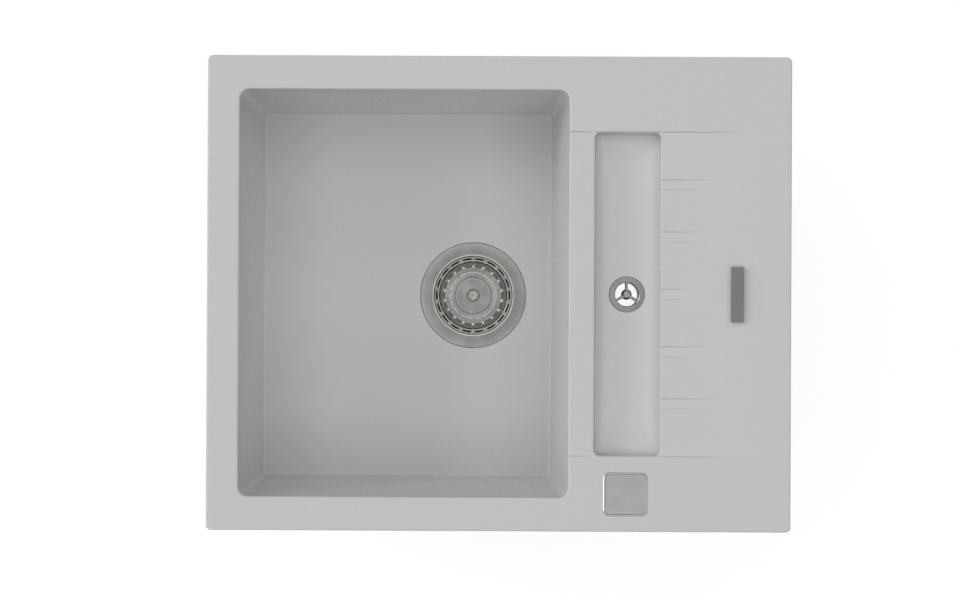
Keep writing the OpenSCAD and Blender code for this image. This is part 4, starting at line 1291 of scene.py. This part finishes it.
    def pad(self, form: Form) -> None:
        """Adds the pad around the control's hole."""
        pad = Outline(CONTROL_X, -210.25, 62, 55.5, 2.5, (0.0,), (0.0,), 4)
        high, low, edge = 1.0, -5.0, 1.2
        section = ((0, high), (0, -4.4), (0.2, -4.85), (0.6, low), (edge, low))
        outer = [form.level(pad, inset, z) for inset, z in section]
        inner = [form.level(self.control_hole, 0, z) for z in (high, low)]
        form.loft(outer)
        form.join(*inner)

        def off_pad(x: float, y: float, inset: float = 0.0) -> float:
            """How far a place is off the pad, or off its face inside the edge."""
            return max(pad.distance(x, y) + inset, -self.control_hole.distance(x, y))

        form.fill([outer[0], inner[0]], [], lambda x, y: high, off_pad)
        form.fill([outer[-1], inner[1]], [], lambda x, y: low, lambda x, y: off_pad(x, y, edge))

    def build(self) -> None:
        """Builds the casting and puts it in place of its solid."""
        form = Form("composite_casting")
        upper = self.upper_side(form)
        self.lower_side(form, upper)
        self.ribs(form)
        finish_form(form, [Finishes.FACE, Finishes.BACK], 40, "sink", "composite", "sink_body")


@dataclass
class Strainer:
    """The steel flange and cup, the basket with its slots and its stud.

    Attributes:
        top: height of the flange's face.
        sheet: sheet thickness of the flange.
        flange_radius: outer radius of the face.
        cup_floor: height of the cup's floor.
        rim: height of the basket's bead.
        basket_sheet: sheet thickness of the basket.
        sectors: slots around the basket.
        bridge: width of the metal between two slots.
        rim_slot: length of a slot outside the bead.
    """

    top: float = -182.4
    sheet: float = 1.2
    flange_radius: float = 57.2
    cup_floor: float = -216.4
    rim: float = -188.4
    basket_sheet: float = 0.9
    sectors: int = 18
    bridge: float = 2.9
    rim_slot: float = 9.6

    def flange(self) -> None:
        """Builds the flange, polished on its face and dull down in the cup."""
        form = Form("strainer_flange_steel")
        z = self.top
        face = softened(
            [
                (44.0, z - self.sheet, 0), (self.flange_radius, z - self.sheet, 0),
                (self.flange_radius, z, 0.45), (45.0, z, 0.2), (44.6, z - 0.03, 0.05),
                (43.4, z - 0.14, 0.1), (42.9, z - 0.6, 0.1), (42.8, z - 6.0, 0),
            ],
            5,
        )
        band = [(42.8, z - 6.0), (42.8, z - 8.5), (42.8, z - 11.0), (41.0, z - 12.4), (38.8, z - 14.0)]
        cup = softened(
            [
                (38.8, z - 14.0, 0), (38.8, z - 14.5, 0), (38.8, self.cup_floor, 1.6),
                (26.5, self.cup_floor, 0.3), (26.5, self.cup_floor - self.sheet, 0),
                (40.0, self.cup_floor - self.sheet, 1.6), (40.0, z - 14.2, 1.0), (44.0, z - 11.2, 1.0),
                (44.0, z - self.sheet, 0),
            ],
            5,
        )
        outer = form.turn(DRAIN_X, 0, face, 144)
        # Slot 2 is the band under the basket's rim; its dark finish is painted shade for the gap there.
        form.slot = 2
        upper = form.turn(DRAIN_X, 0, band[1:], 144)
        form.loft([outer[-1], upper[0]])
        form.slot = 1
        inner = form.turn(DRAIN_X, 0, cup[1:-1], 144)
        form.loft([upper[-1], inner[0]])
        form.loft([inner[-1], outer[0]])
        finishes = [Finishes.FLANGE, Finishes.CUP, Finishes.CUP_BAND]
        finish_form(form, finishes, 40, "sink", "strainer_steel", "strainer_flange")

    def section(self) -> list[tuple[float, float, str]]:
        """The basket's upper surface from the rim to the middle: radius, height and what is cut there."""
        z = self.rim
        rim = softened(
            [
                (42.55, z - 1.6, 0), (42.3, z - 1.35, 0.1), (41.4, z - 1.2, 0), (40.9, z - 1.05, 0),
                (39.2, z - 0.55, 0), (38.8, z - 0.43, 0), (38.65, z - 0.35, 0.1), (38.45, z - 0.05, 0.2),
                (38.05, z, 0.2), (37.75, z - 0.12, 0.2), (37.5, z - 0.8, 0.4), (36.7, z - 6.5, 0),
            ],
            3,
        )
        bars = [
            (36.1, z - 8.5), (35.5, z - 9.8), (34.8, z - 10.9), (34.0, z - 11.75), (33.2, z - 12.35),
            (32.2, z - 12.8), (31.5, z - 12.92), (30.9, z - 12.96), (30.4, z - 12.98), (30.0, z - 12.99),
            (29.6, z - 13.0), (29.2, z - 13.0), (28.8, z - 13.0), (28.2, z - 13.0), (27.4, z - 13.0),
            (26.6, z - 13.0), (26.2, z - 13.0),
            (25.8, z - 13.02), (25.5, z - 13.15), (25.2, z - 13.6), (24.9, z - 13.88),
            (24.6, z - 13.95),
        ]
        middle = softened(
            [
                (24.2, z - 13.95, 0), (23.6, z - 13.95, 0), (22.9, z - 13.95, 0), (22.2, z - 13.95, 0),
                (21.6, z - 13.95, 0), (20.3, z - 13.95, 0), (20.15, z - 14.25, 0.1), (19.75, z - 14.25, 0.1),
                (19.5, z - 13.2, 0.3), (19.2, z - 13.1, 0.1), (19.05, z - 13.5, 0.1), (18.7, z - 13.5, 0.1),
                (18.55, z - 13.02, 0.05), (18.3, z - 13.01, 0), (17.8, z - 13.0, 0), (12.0, z - 13.0, 0),
                (7.7, z - 13.0, 0), (7.3, z - 13.0, 0.05), (6.1, z - 13.85, 0.1), (5.9, z - 13.85, 0.1),
                (5.5, z - 13.0, 0.1), (2.55, z - 13.0, 0),
            ],
            3,
        )
        marked = [(r, h, "rim" if 39.2 < r <= 40.9 else "") for r, h in rim]
        marked += [(r, h, "slot" if r > 31.0 else "") for r, h in bars]
        return marked + [(r, h, "") for r, h in middle]

    def basket(self) -> None:
        """Builds the basket sheet with its cut slots, its bars and its lips, then its thickness."""
        form = Form("strainer_basket_steel")
        shares = [-1.0, -0.93, -0.86, -0.5, 0.0, 0.5, 0.86, 0.93]
        rows = self.section()
        rings: list[list[int]] = []
        cells: list[bool] = []
        half = math.pi / self.sectors
        for r, z, _ in rows:
            at_rim = r > 37.5
            slot_half = self.rim_slot / 2 / 39.8 if at_rim else half - self.bridge / 2 / max(r, 20.0)
            ring_points: list[Point] = []
            cells = []
            for sector in range(self.sectors):
                middle = math.pi / 2 + (2 * sector + 1) * half
                places = [-half, -half * 0.5 - slot_half * 0.5] + [slot_half * s for s in shares]
                places += [slot_half, half * 0.5 + slot_half * 0.5]
                for k, offset in enumerate(places):
                    u = min(abs(offset) / slot_half, 1.0)
                    bar = max(0.0, (abs(offset) - slot_half) / (half - slot_half))
                    between = ease((1 - u) / 0.13) if bar <= 0 else 0.0
                    lip = 0.05 * ease((r - 21.4) / 1.6) * ease((25.4 - r) / 1.8) * between
                    if 24.4 < r < 35.0:
                        valley = self.rim - 13.95 - 0.1 * ease((r - 24.4) / 1.8)
                        lip += between * (valley - z)
                    end = 0.0
                    if 30.8 < r < 31.0:
                        end = 0.7 * u**6 * (1 - bar)
                    elif 36.0 < r < 36.2:
                        end = -0.9 * u**6 * (1 - bar)
                    rr = r + end
                    a = middle + offset
                    ring_points.append(
                        (DRAIN_X + rr * math.cos(a), rr * math.sin(a), z + lip + min(end, 0.0) * 1.6)
                    )
                    cells.append(2 <= k < 2 + len(shares))
            rings.append(form.ring(ring_points))
        count = len(cells)
        for k, (upper, lower) in enumerate(zip(rings, rings[1:])):
            cut = rows[k][2]
            for j in range(count):
                n = (j + 1) % count
                if not (cut and cells[j]):
                    form.face(upper[j], upper[n], lower[n], lower[j])
        offsets: list[Point] = []
        for k, ring in enumerate(rings):
            before, after = rows[max(k - 1, 0)], rows[min(k + 1, len(rows) - 1)]
            run = Vector((after[0] - before[0], after[1] - before[1])).normalized()
            out, down = -run.y, run.x
            if down > 0:
                out, down = -out, -down
            for index in ring:
                x, y, _ = form.points[index]
                a = math.atan2(y, x - DRAIN_X)
                s = self.basket_sheet
                offsets.append((out * s * math.cos(a), out * s * math.sin(a), down * s))
        form.thicken(offsets)
        finish_form(form, [Finishes.BASKET], 38, "basket", "strainer_steel", "strainer_basket")

    def stud(self) -> None:
        """Builds the stud that the basket is lifted by."""
        form = Form("basket_stud_steel")
        top = self.rim - 13.0
        form.turn(
            DRAIN_X, 0,
            softened(
                [
                    (0, -219.3, 0), (2.5, -219.3, 0.3), (2.5, top, 0), (5.5, top + 0.05, 0.2),
                    (5.75, top + 1.0, 0.6), (5.2, top + 2.6, 0.8), (5.65, top + 3.5, 0.7),
                    (5.1, top + 4.35, 0.4), (4.6, top + 4.48, 0.1), (3.3, top + 4.5, 0.2),
                    (2.7, top + 4.25, 0.2), (2.2, top + 4.2, 0.1), (0, top + 4.2, 0),
                ],
                4,
            ),
            64,
        )
        finish_form(form, [Finishes.BASKET], 40, "basket", "strainer_steel", "basket_stud")

    def seal(self) -> None:
        """Builds the basket's rubber ring with the steel washer that holds it down."""
        form = Form("basket_seal_with_washer")
        low = -216.1
        form.turn(
            DRAIN_X, 0,
            softened(
                [
                    (10.2, low, 0), (28.4, low, 0.5), (29.0, low + 0.9, 0.6), (28.6, low + 2.2, 0.3),
                    (10.2, low + 2.2, 0), (10.2, low, 0),
                ],
                4,
            ),
            96,
        )
        form.slot = 1
        form.turn(
            DRAIN_X, 0,
            softened(
                [
                    (10.2, low + 2.25, 0), (28.9, low + 2.25, 0.1), (28.9, low + 3.0, 0.25),
                    (10.2, low + 3.0, 0), (10.2, low + 2.25, 0),
                ],
                3,
            ),
            96,
        )
        finishes = [Finishes.RUBBER, Finishes.WASHER]
        finish_form(form, finishes, 40, "basket", "black_rubber", "basket_seal")

    def build(self) -> None:
        """Builds flange, basket, stud and seal."""
        self.flange()
        self.basket()
        self.stud()
        self.seal()


@dataclass
class TroughWaste:
    """The trough's steel grid with three spokes and its slotted screw.

    Attributes:
        top: height of the grid's face.
        radius: outer radius.
        dish: drop from the face to the opening.
        spoke: width of a spoke.
        SPOKE_SECTIONS: distance from the axis, lift and share of the width along a spoke.
    """

    top: float = -21.2
    radius: float = 18.5
    dish: float = 2.6
    spoke: float = 2.9
    SPOKE_SECTIONS = (
        (3.6, -0.3, 1.1), (4.6, -0.15, 0.95), (8.5, 1.05, 0.86), (11.4, 1.95, 0.86), (12.9, 2.3, 1.1),
    )

    def grid(self) -> None:
        """Builds the ring, the spokes and the hub as one piece."""
        form = Form("trough_grid_steel")
        z, low = self.top, self.top - self.dish
        form.turn(
            TROUGH_X, 0,
            softened(
                [
                    (self.radius, z - 1.4, 0), (self.radius, z - 0.04, 0.2), (17.6, z, 0.2),
                    (13.9, z - 0.15, 0.3), (13.0, z - 0.6, 0.5),
                    (12.5, z - 2.0, 0.6), (12.4, z - 6, 0.3), (13.45, z - 6, 0.3),
                    (13.45, low - 1, 0.8), (15.6, z - 1.5, 0.6), (self.radius, z - 1.4, 0),
                ],
                4,
            ),
            96,
        )
        hub = softened(
            [
                (0, low - 0.2, 0), (2.75, low - 0.2, 0.2), (2.9, low, 0.2), (4.0, low, 0.5),
                (4.5, low - 0.7, 0.3), (4.5, low - 1.9, 0.3), (4.0, low - 2, 0), (0, low - 2, 0),
            ],
            3,
        )
        form.turn(TROUGH_X, 0, hub, 48)
        for angle in (90, 210, 330):
            self.arm(form, math.radians(angle), low)
        finish_form(form, [Finishes.GRID], 42, "sink", "strainer_steel", "trough_grid")

    def arm(self, form: Form, a: float, low: float) -> None:
        """Adds one spoke, closed at both ends.

        Args:
            form: where to add it.
            a: its direction, in radians.
            low: height that its lifts count from.
        """
        along = Vector((math.cos(a), math.sin(a), 0))
        across = Vector((-math.sin(a), math.cos(a), 0))
        sides, half_height = 12, 0.85
        rings = []
        for r, lift, wide in self.SPOKE_SECTIONS:
            half = self.spoke / 2 * wide
            ring = []
            for k in range(sides):
                t = 2 * math.pi * k / sides
                side = half * math.copysign(abs(math.cos(t)) ** 0.4, math.cos(t))
                rise = -1.0 + lift + half_height * math.copysign(abs(math.sin(t)) ** 0.25, math.sin(t))
                p = along * r + across * side
                ring.append((TROUGH_X + p.x, p.y, low + rise))
            rings.append(form.ring(ring))
        form.loft(rings)
        form.face(*rings[0])
        form.face(*rings[-1])

    def screw(self) -> None:
        """Builds the pan-head screw with its slot."""
        form = Form("trough_screw_steel")
        low, tip = self.top - self.dish, self.top - self.dish - 20.2
        shank, head_radius, head, flat_radius, sides = 2.5, 3.8, 1.75, 1.1, 48
        dome = [
            (head_radius * math.cos(t), low + 0.7 + (head - 0.75) * math.sin(t)) for t in (0.5, 0.9, 1.2)
        ]
        neck = [(shank, tip), (shank, low - 0.3), (shank, low), (head_radius, low), (head_radius, low + 0.7)]
        rings = form.turn(TROUGH_X, 0, neck + dome, sides)
        top = form.points[rings[-1][0]][2] + 0.03
        turns = [2 * math.pi * k / sides for k in range(sides)]
        flat = form.ring(
            (TROUGH_X + flat_radius * math.cos(a), flat_radius * math.sin(a), top) for a in turns
        )
        form.join(rings[-1], flat)
        form.fan(flat, top)
        form.fan(rings[0], tip)
        piece = form.object([Finishes.GRID.material()], 42)
        slot_form = Form("slot_cutter")
        slot = Outline(TROUGH_X, 0, 9.0, 1.1, 0.05, (0.0,), (0.0,), 2)
        block(slot_form, slot, low + 0.95, low + 4, 0.1)
        cutter = slot_form.object([Finishes.GRID.material()], 42)
        turn_by = Matrix.Translation((TROUGH_X * MM, 0, 0)) @ Matrix.Rotation(math.radians(35), 4, "Z")
        cutter.data.transform(turn_by @ Matrix.Translation((-TROUGH_X * MM, 0, 0)))
        carve(piece, cutter)
        finish_piece(piece, "sink", "plain_steel", "trough_screw")

    def build(self) -> None:
        """Builds the grid and the screw."""
        self.grid()
        self.screw()


def carve(piece: bpy.types.Object, cutter: bpy.types.Object) -> None:
    """Cuts one closed object out of another and removes the cutter.

    Args:
        piece: what is cut.
        cutter: what is taken away.
    """
    step = piece.modifiers.new("carve", "BOOLEAN")
    step.operation, step.object, step.solver = "DIFFERENCE", cutter, "EXACT"
    bpy.context.view_layer.update()
    evaluated = piece.evaluated_get(bpy.context.evaluated_depsgraph_get())
    mesh = bpy.data.meshes.new_from_object(evaluated)
    piece.modifiers.remove(step)
    old, piece.data = piece.data, mesh
    bpy.data.meshes.remove(old)
    bpy.data.objects.remove(cutter)
    mesh.set_sharp_from_angle(angle=math.radians(42))


@dataclass
class PushControl:
    """The square bezel and the square button of the pop-up waste.

    Attributes:
        deck: height that the bezel stands on.
        bezel: outer width of the bezel.
        face: width of the bezel's face.
        button_top: height of the button.
        corner: outer corner radius.
        gap: running gap around the button.
        stroke: travel of the button; not used.
        spring_low: height of the spring's lower end.
        spring_high: height of the spring's upper end.
        coil_radius: radius from the spring's axis to the middle of its wire.
        wire_radius: radius of the spring's wire.
        turns: turns of the spring.
        dead_turns: closed turns at each of its ends.
    """

    deck: float = 8.0
    bezel: float = 46.5
    face: float = 1.9
    button_top: float = 8.42
    corner: float = 6.0
    gap: float = 0.3
    stroke: float = 6.0
    spring_low: float = -37.97
    spring_high: float = -9.03
    coil_radius: float = 7.8
    wire_radius: float = 0.59
    turns: float = 6.5
    dead_turns: float = 0.7

    def frame_ring(self) -> None:
        """Builds the bezel: its face slopes up from the deck and turns over at the button."""
        form = Form("control_bezel_chrome")
        outline = Outline(CONTROL_X, CONTROL_Y, self.bezel, self.bezel, self.corner, (0.0,), (0.0,), 12)
        rings = []
        for inset, z in (
            (0.0, 0.0), (0.02, 0.07), (0.1, 0.16), (0.42, 0.41), (0.62, 0.5), (0.85, 0.545),
            (1.1, 0.55), (1.6, 0.55), (1.78, 0.52), (1.88, 0.4), (1.9, 0.2), (1.9, 0.0),
        ):
            rings.append(form.level(outline, inset, self.deck + z, self.corner - inset))
        form.loft(rings)
        form.join(rings[-1], rings[0])
        finish_form(form, [Finishes.BEZEL], 50, "sink", "bezel_chrome", "control_bezel")

    def button(self) -> None:
        """Builds the button plate with its small edge rounding and a barely domed face."""
        form = Form("control_button_plate")
        width = self.bezel - 2 * self.face - 2 * self.gap
        sides = tuple(k / 3 for k in range(-2, 3))
        outline = Outline(CONTROL_X, CONTROL_Y, width, width, self.corner - self.face, sides, sides, 10)
        edge, top = 0.35, self.button_top
        rings = [form.level(outline, 0, top - 3)]
        for k in range(5):
            a = math.pi / 2 * k / 4
            height = top - 0.05 - edge * (1 - math.sin(a))
            rings.append(form.level(outline, edge * (1 - math.cos(a)), height))
        for inset in (1.0, 3.0, 7.0, 12.0):
            level = top - 0.05 * (1 - ease(inset / 14))
            rings.append(form.level(outline, inset, level, max(3.2 - inset * 0.2, 0.6)))
        form.loft(rings)
        form.fan(rings[-1], top)
        form.fan(rings[0], top - 3)
        finish_form(form, [Finishes.BUTTON], 50, "push_button", "button_steel", "control_button")

    def spring(self) -> None:
        """Builds the return spring, at rest."""
        form = Form("control_spring_wire")
        low, high = self.spring_low + self.wire_radius, self.spring_high - self.wire_radius
        closed = 2.05 * self.wire_radius
        live = self.turns - 2 * self.dead_turns
        steps, sides = 32, 10
        rings = []
        for step in range(round(self.turns * steps) + 1):
            t = step / steps
            end = closed * min(t, self.dead_turns) + closed * max(0.0, t - self.turns + self.dead_turns)
            share = min(max((t - self.dead_turns) / live, 0.0), 1.0)
            z = low + end + (high - low - 2 * closed * self.dead_turns) * share
            a = 2 * math.pi * t
            ring = []
            for side in range(sides):
                b = 2 * math.pi * side / sides
                r = self.coil_radius + self.wire_radius * math.cos(b)
                x, y = CONTROL_X + r * math.cos(a), CONTROL_Y + r * math.sin(a)
                ring.append((x, y, z + self.wire_radius * math.sin(b)))
            rings.append(form.ring(ring))
        form.loft(rings)
        form.face(*rings[0])
        form.face(*rings[-1])
        piece = finish_form(form, [Finishes.ZINC], 60, "sink", "plain_steel", "control_spring")
        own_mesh(piece)

    def build(self) -> None:
        """Builds bezel, button and spring."""
        self.frame_ring()
        self.button()
        self.spring()


@dataclass
class BadgeBar:
    """The bare metal bar at the drainboard's outer end, on its foam pad.

    Attributes:
        x: middle of the bar.
        width: its width.
        length: its length from front to back.
        low: height of its underside.
        high: height of its face.
        peg_spacing: distance between its two pegs.
    """

    x: float = 250.5
    width: float = 13.0
    length: float = 57.7
    low: float = 8.5
    high: float = 12.5
    peg_spacing: float = 33.7

    def build(self) -> None:
        """Builds the bar with its pegs, and keeps it blank."""
        form = Form("blank_bar_metal")
        sides = tuple(k / 4 for k in range(-3, 4))
        outline = Outline(self.x, 0, self.width, self.length, 0.6, (0.0,), sides, 4)
        block(form, outline, self.low, self.high, 0.35, 0.2)
        peg = ((0, 4.0), (1.6, 4.0), (2.0, 4.4), (2.0, 9.0), (0, 9.0))
        for sign in (-1, 1):
            form.turn(self.x, sign * self.peg_spacing / 2, peg, 24)
        finish_form(form, [Finishes.BAR], 40, "sink", "dark_bar", "badge_bar")


class Fitting(Enum):
    """The fittings that keep their solids' shapes, by finish."""

    ZINC = ("clamp_screws", "crank_screw", "control_clamp_plate")
    SCREW_HEAD = ("flange_screws",)
    ARMS = (
        "clamp_arm_front_left", "clamp_arm_front_right", "clamp_arm_back_left", "clamp_arm_back_right",
        "clamp_arm_left", "clamp_arm_right",
    )
    STAINLESS_PIN = ("lift_pin", "cam_shaft")
    BRASS = (
        "clamp_inserts", "seal_nut", "guide_bush", "waste_cable_gland", "trough_insert",
        "control_cable_gland",
    )
    POLYPROPYLENE = (
        "clamp_nuts", "seal_carrier", "waste_cup", "waste_chamber", "trough_tail", "control_tub",
        "control_backnut",
    )
    ACETAL = ("guide_spider", "cam_lever", "cable_crank", "control_plunger", "control_cage")
    RUBBER = (
        "rim_seal", "flange_seal", "waste_seal", "cup_seal", "shaft_seal", "trough_top_seal",
        "trough_bottom_seal", "control_gasket",
    )
    FOAM = ("badge_pad",)

    def finish(self) -> Finishes:
        """The finish of this group."""
        return Finishes.ZINC if self is Fitting.ARMS else Finishes[self.name]


class Fittings:
    """Clamps, seals, waste housing and control parts under the deck."""

    def build(self) -> None:
        """Gives each solid that stays its finish."""
        for group in Fitting:
            material = group.finish().material()
            for name in group.value:
                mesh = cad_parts[name].data
                mesh.materials.clear()
                mesh.materials.append(material)
                log.info("%s: %s", name, material.name)


@dataclass
class Studio:
    """Floor, lamps, sky and camera.

    Attributes:
        floor_level: height of the floor in metres.
        floor_reach: half the floor's side in metres.
        key_power: power of the large lamp at the left, in watts.
        low_power: power of the lamp that stands low at the left, in watts.
        sky_stops: angle from overhead, in degrees, and tone of the sky there.
        sky_strength: strength of the sky where its tone is 1.
        key_place: where the large lamp hangs, in metres.
        low_place: where the low lamp hangs, in metres.
        lamp_size: width of a lamp in metres.
        camera_place: where the camera hangs, in metres.
        camera_target: what it looks at, in metres.
        camera_roll: its turn around its line of sight, in degrees.
        focal: focal length in millimetres, on a sensor 36 mm wide.
    """

    floor_level: float = -0.2873
    floor_reach: float = 60.0
    key_power: float = 188.0
    low_power: float = 142.0
    sky_stops: tuple[Plan, ...] = (
        (0, 0.1), (7.5, 0.1), (8.5, 0.36), (17.5, 0.36), (18.5, 1.0), (27.5, 1.0), (28.5, 0.0), (39.5, 0.0),
        (40.5, 0.57), (54.5, 0.57), (55.5, 0.02), (90, 0.02),
    )
    sky_strength: float = 2.12
    key_place: Point = (-8.14, 2.96, 5.0)
    low_place: Point = (-9.7, 0.0, 2.42)
    lamp_size: float = 2.8
    camera_place: Point = (0.0045, -0.048, 4.5)
    camera_target: Point = (-0.0199, -0.0069, 0.008)
    camera_roll: float = 0.27
    focal: float = 160.15

    def floor(self) -> None:
        """Makes a pale floor that shows white, keeps the soft shadow and is clear from below."""
        form = Form("studio_floor")
        reach = self.floor_reach / MM
        quarters = ((-reach, -reach), (reach, -reach), (reach, reach), (-reach, reach))
        form.face(*form.ring((x, y, self.floor_level / MM) for x, y in quarters))
        material = bpy.data.materials.new("Studio floor, white paint")
        material.use_nodes = True
        tree = material.node_tree
        tree.nodes.clear()
        rays = add_node(tree, "ShaderNodeLightPath")
        seen = rays.outputs["Is Camera Ray"]
        for name in ("Is Glossy Ray", "Is Transmission Ray"):
            seen = calculate(tree, "MAXIMUM", seen, rays.outputs[name])
        paint = add_node(tree, "ShaderNodeBsdfDiffuse", {"Color": linear("#D9D9D9")})
        shown = add_node(tree, "ShaderNodeBsdfDiffuse", {"Color": linear("#7C7C7C")})
        glow = add_node(tree, "ShaderNodeEmission", {"Color": (1, 1, 1, 1), "Strength": 0.88})
        both = add_node(tree, "ShaderNodeAddShader", {0: shown.outputs[0], 1: glow.outputs[0]})
        mix = add_node(tree, "ShaderNodeMixShader", {0: seen, 1: paint.outputs[0], 2: both.outputs[0]})
        clear = add_node(tree, "ShaderNodeBsdfTransparent")
        below = add_node(tree, "ShaderNodeNewGeometry").outputs["Backfacing"]
        sides = add_node(tree, "ShaderNodeMixShader", {0: below, 1: mix.outputs[0], 2: clear.outputs[0]})
        add_node(tree, "ShaderNodeOutputMaterial", {"Surface": sides.outputs[0]})
        form.object([material])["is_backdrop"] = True

    def sky(self) -> None:
        """Makes two soft rings of light around a dim patch overhead."""
        world = bpy.data.worlds.new("Studio sky")
        bpy.context.scene.world = world
        world.use_nodes = True
        tree = world.node_tree
        tree.nodes.clear()
        ray = add_node(tree, "ShaderNodeTexCoord")
        up = add_node(tree, "ShaderNodeSeparateXYZ", {0: ray.outputs["Generated"]})
        ramp = add_node(tree, "ShaderNodeValToRGB", {0: up.outputs[2]})
        stops = ramp.color_ramp.elements
        while len(stops) < len(self.sky_stops):
            stops.new(0.5)
        for stop, (angle, tone) in zip(stops, sorted(self.sky_stops, reverse=True)):
            stop.position = math.cos(math.radians(angle))
            stop.color = (tone, tone, tone, 1)
        back = add_node(
            tree, "ShaderNodeBackground", {"Color": ramp.outputs[0], "Strength": self.sky_strength}
        )
        add_node(tree, "ShaderNodeOutputWorld", {"Surface": back.outputs[0]})

    def lamp(self, name: str, place: Point, power: float) -> None:
        """Adds a square soft lamp aimed at the sink.

        Args:
            name: the lamp's name.
            place: where it hangs, in metres.
            power: power in watts.
        """
        light = bpy.data.lights.new(name, "AREA")
        light.shape, light.size, light.energy = "SQUARE", self.lamp_size, power
        lamp = bpy.data.objects.new(name, light)
        lamp.location = place
        lamp.rotation_euler = (-Vector(place)).to_track_quat("-Z", "Y").to_euler()
        bpy.context.scene.collection.objects.link(lamp)

    def camera(self) -> None:
        """Makes the camera straight above the sink, a long way off."""
        data = bpy.data.cameras.new("camera")
        data.lens, data.sensor_width = self.focal, 36.0
        data.clip_end = 200.0
        camera = bpy.data.objects.new("camera", data)
        place = Vector(self.camera_place)
        turn = math.radians(self.camera_roll)
        back = (place - Vector(self.camera_target)).normalized()
        side = Vector((-math.sin(turn), math.cos(turn), 0)).cross(back).normalized()
        up = back.cross(side)
        pose = Matrix((side, up, back)).transposed().to_4x4()
        camera.matrix_world = Matrix.Translation(place) @ pose
        bpy.context.scene.collection.objects.link(camera)
        bpy.context.scene.camera = camera

    def build(self) -> None:
        """Sets up the whole studio."""
        scene = bpy.context.scene
        scene.view_settings.view_transform = "Standard"
        self.camera()
        self.floor()
        self.sky()
        self.lamp("key lamp", self.key_place, self.key_power)
        self.lamp("low lamp", self.low_place, self.low_power)


def corners(box: tuple[Vector, Vector]) -> list[list[float]]:
    """Turns a box into plain lists of numbers."""
    return [list(box[0]), list(box[1])]


def main() -> None:
    """Builds the studio and every sub-assembly."""
    logging.basicConfig(level=logging.INFO, format="%(name)s: %(message)s")
    before = corners(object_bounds())
    for part in (Studio(), SinkBody(), Strainer(), TroughWaste(), PushControl(), BadgeBar(), Fittings()):
        part.build()
        log.info("%s done", type(part).__name__)
    {"cad": before, "visual": corners(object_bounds())}


if __name__ == "__main__":
    main()
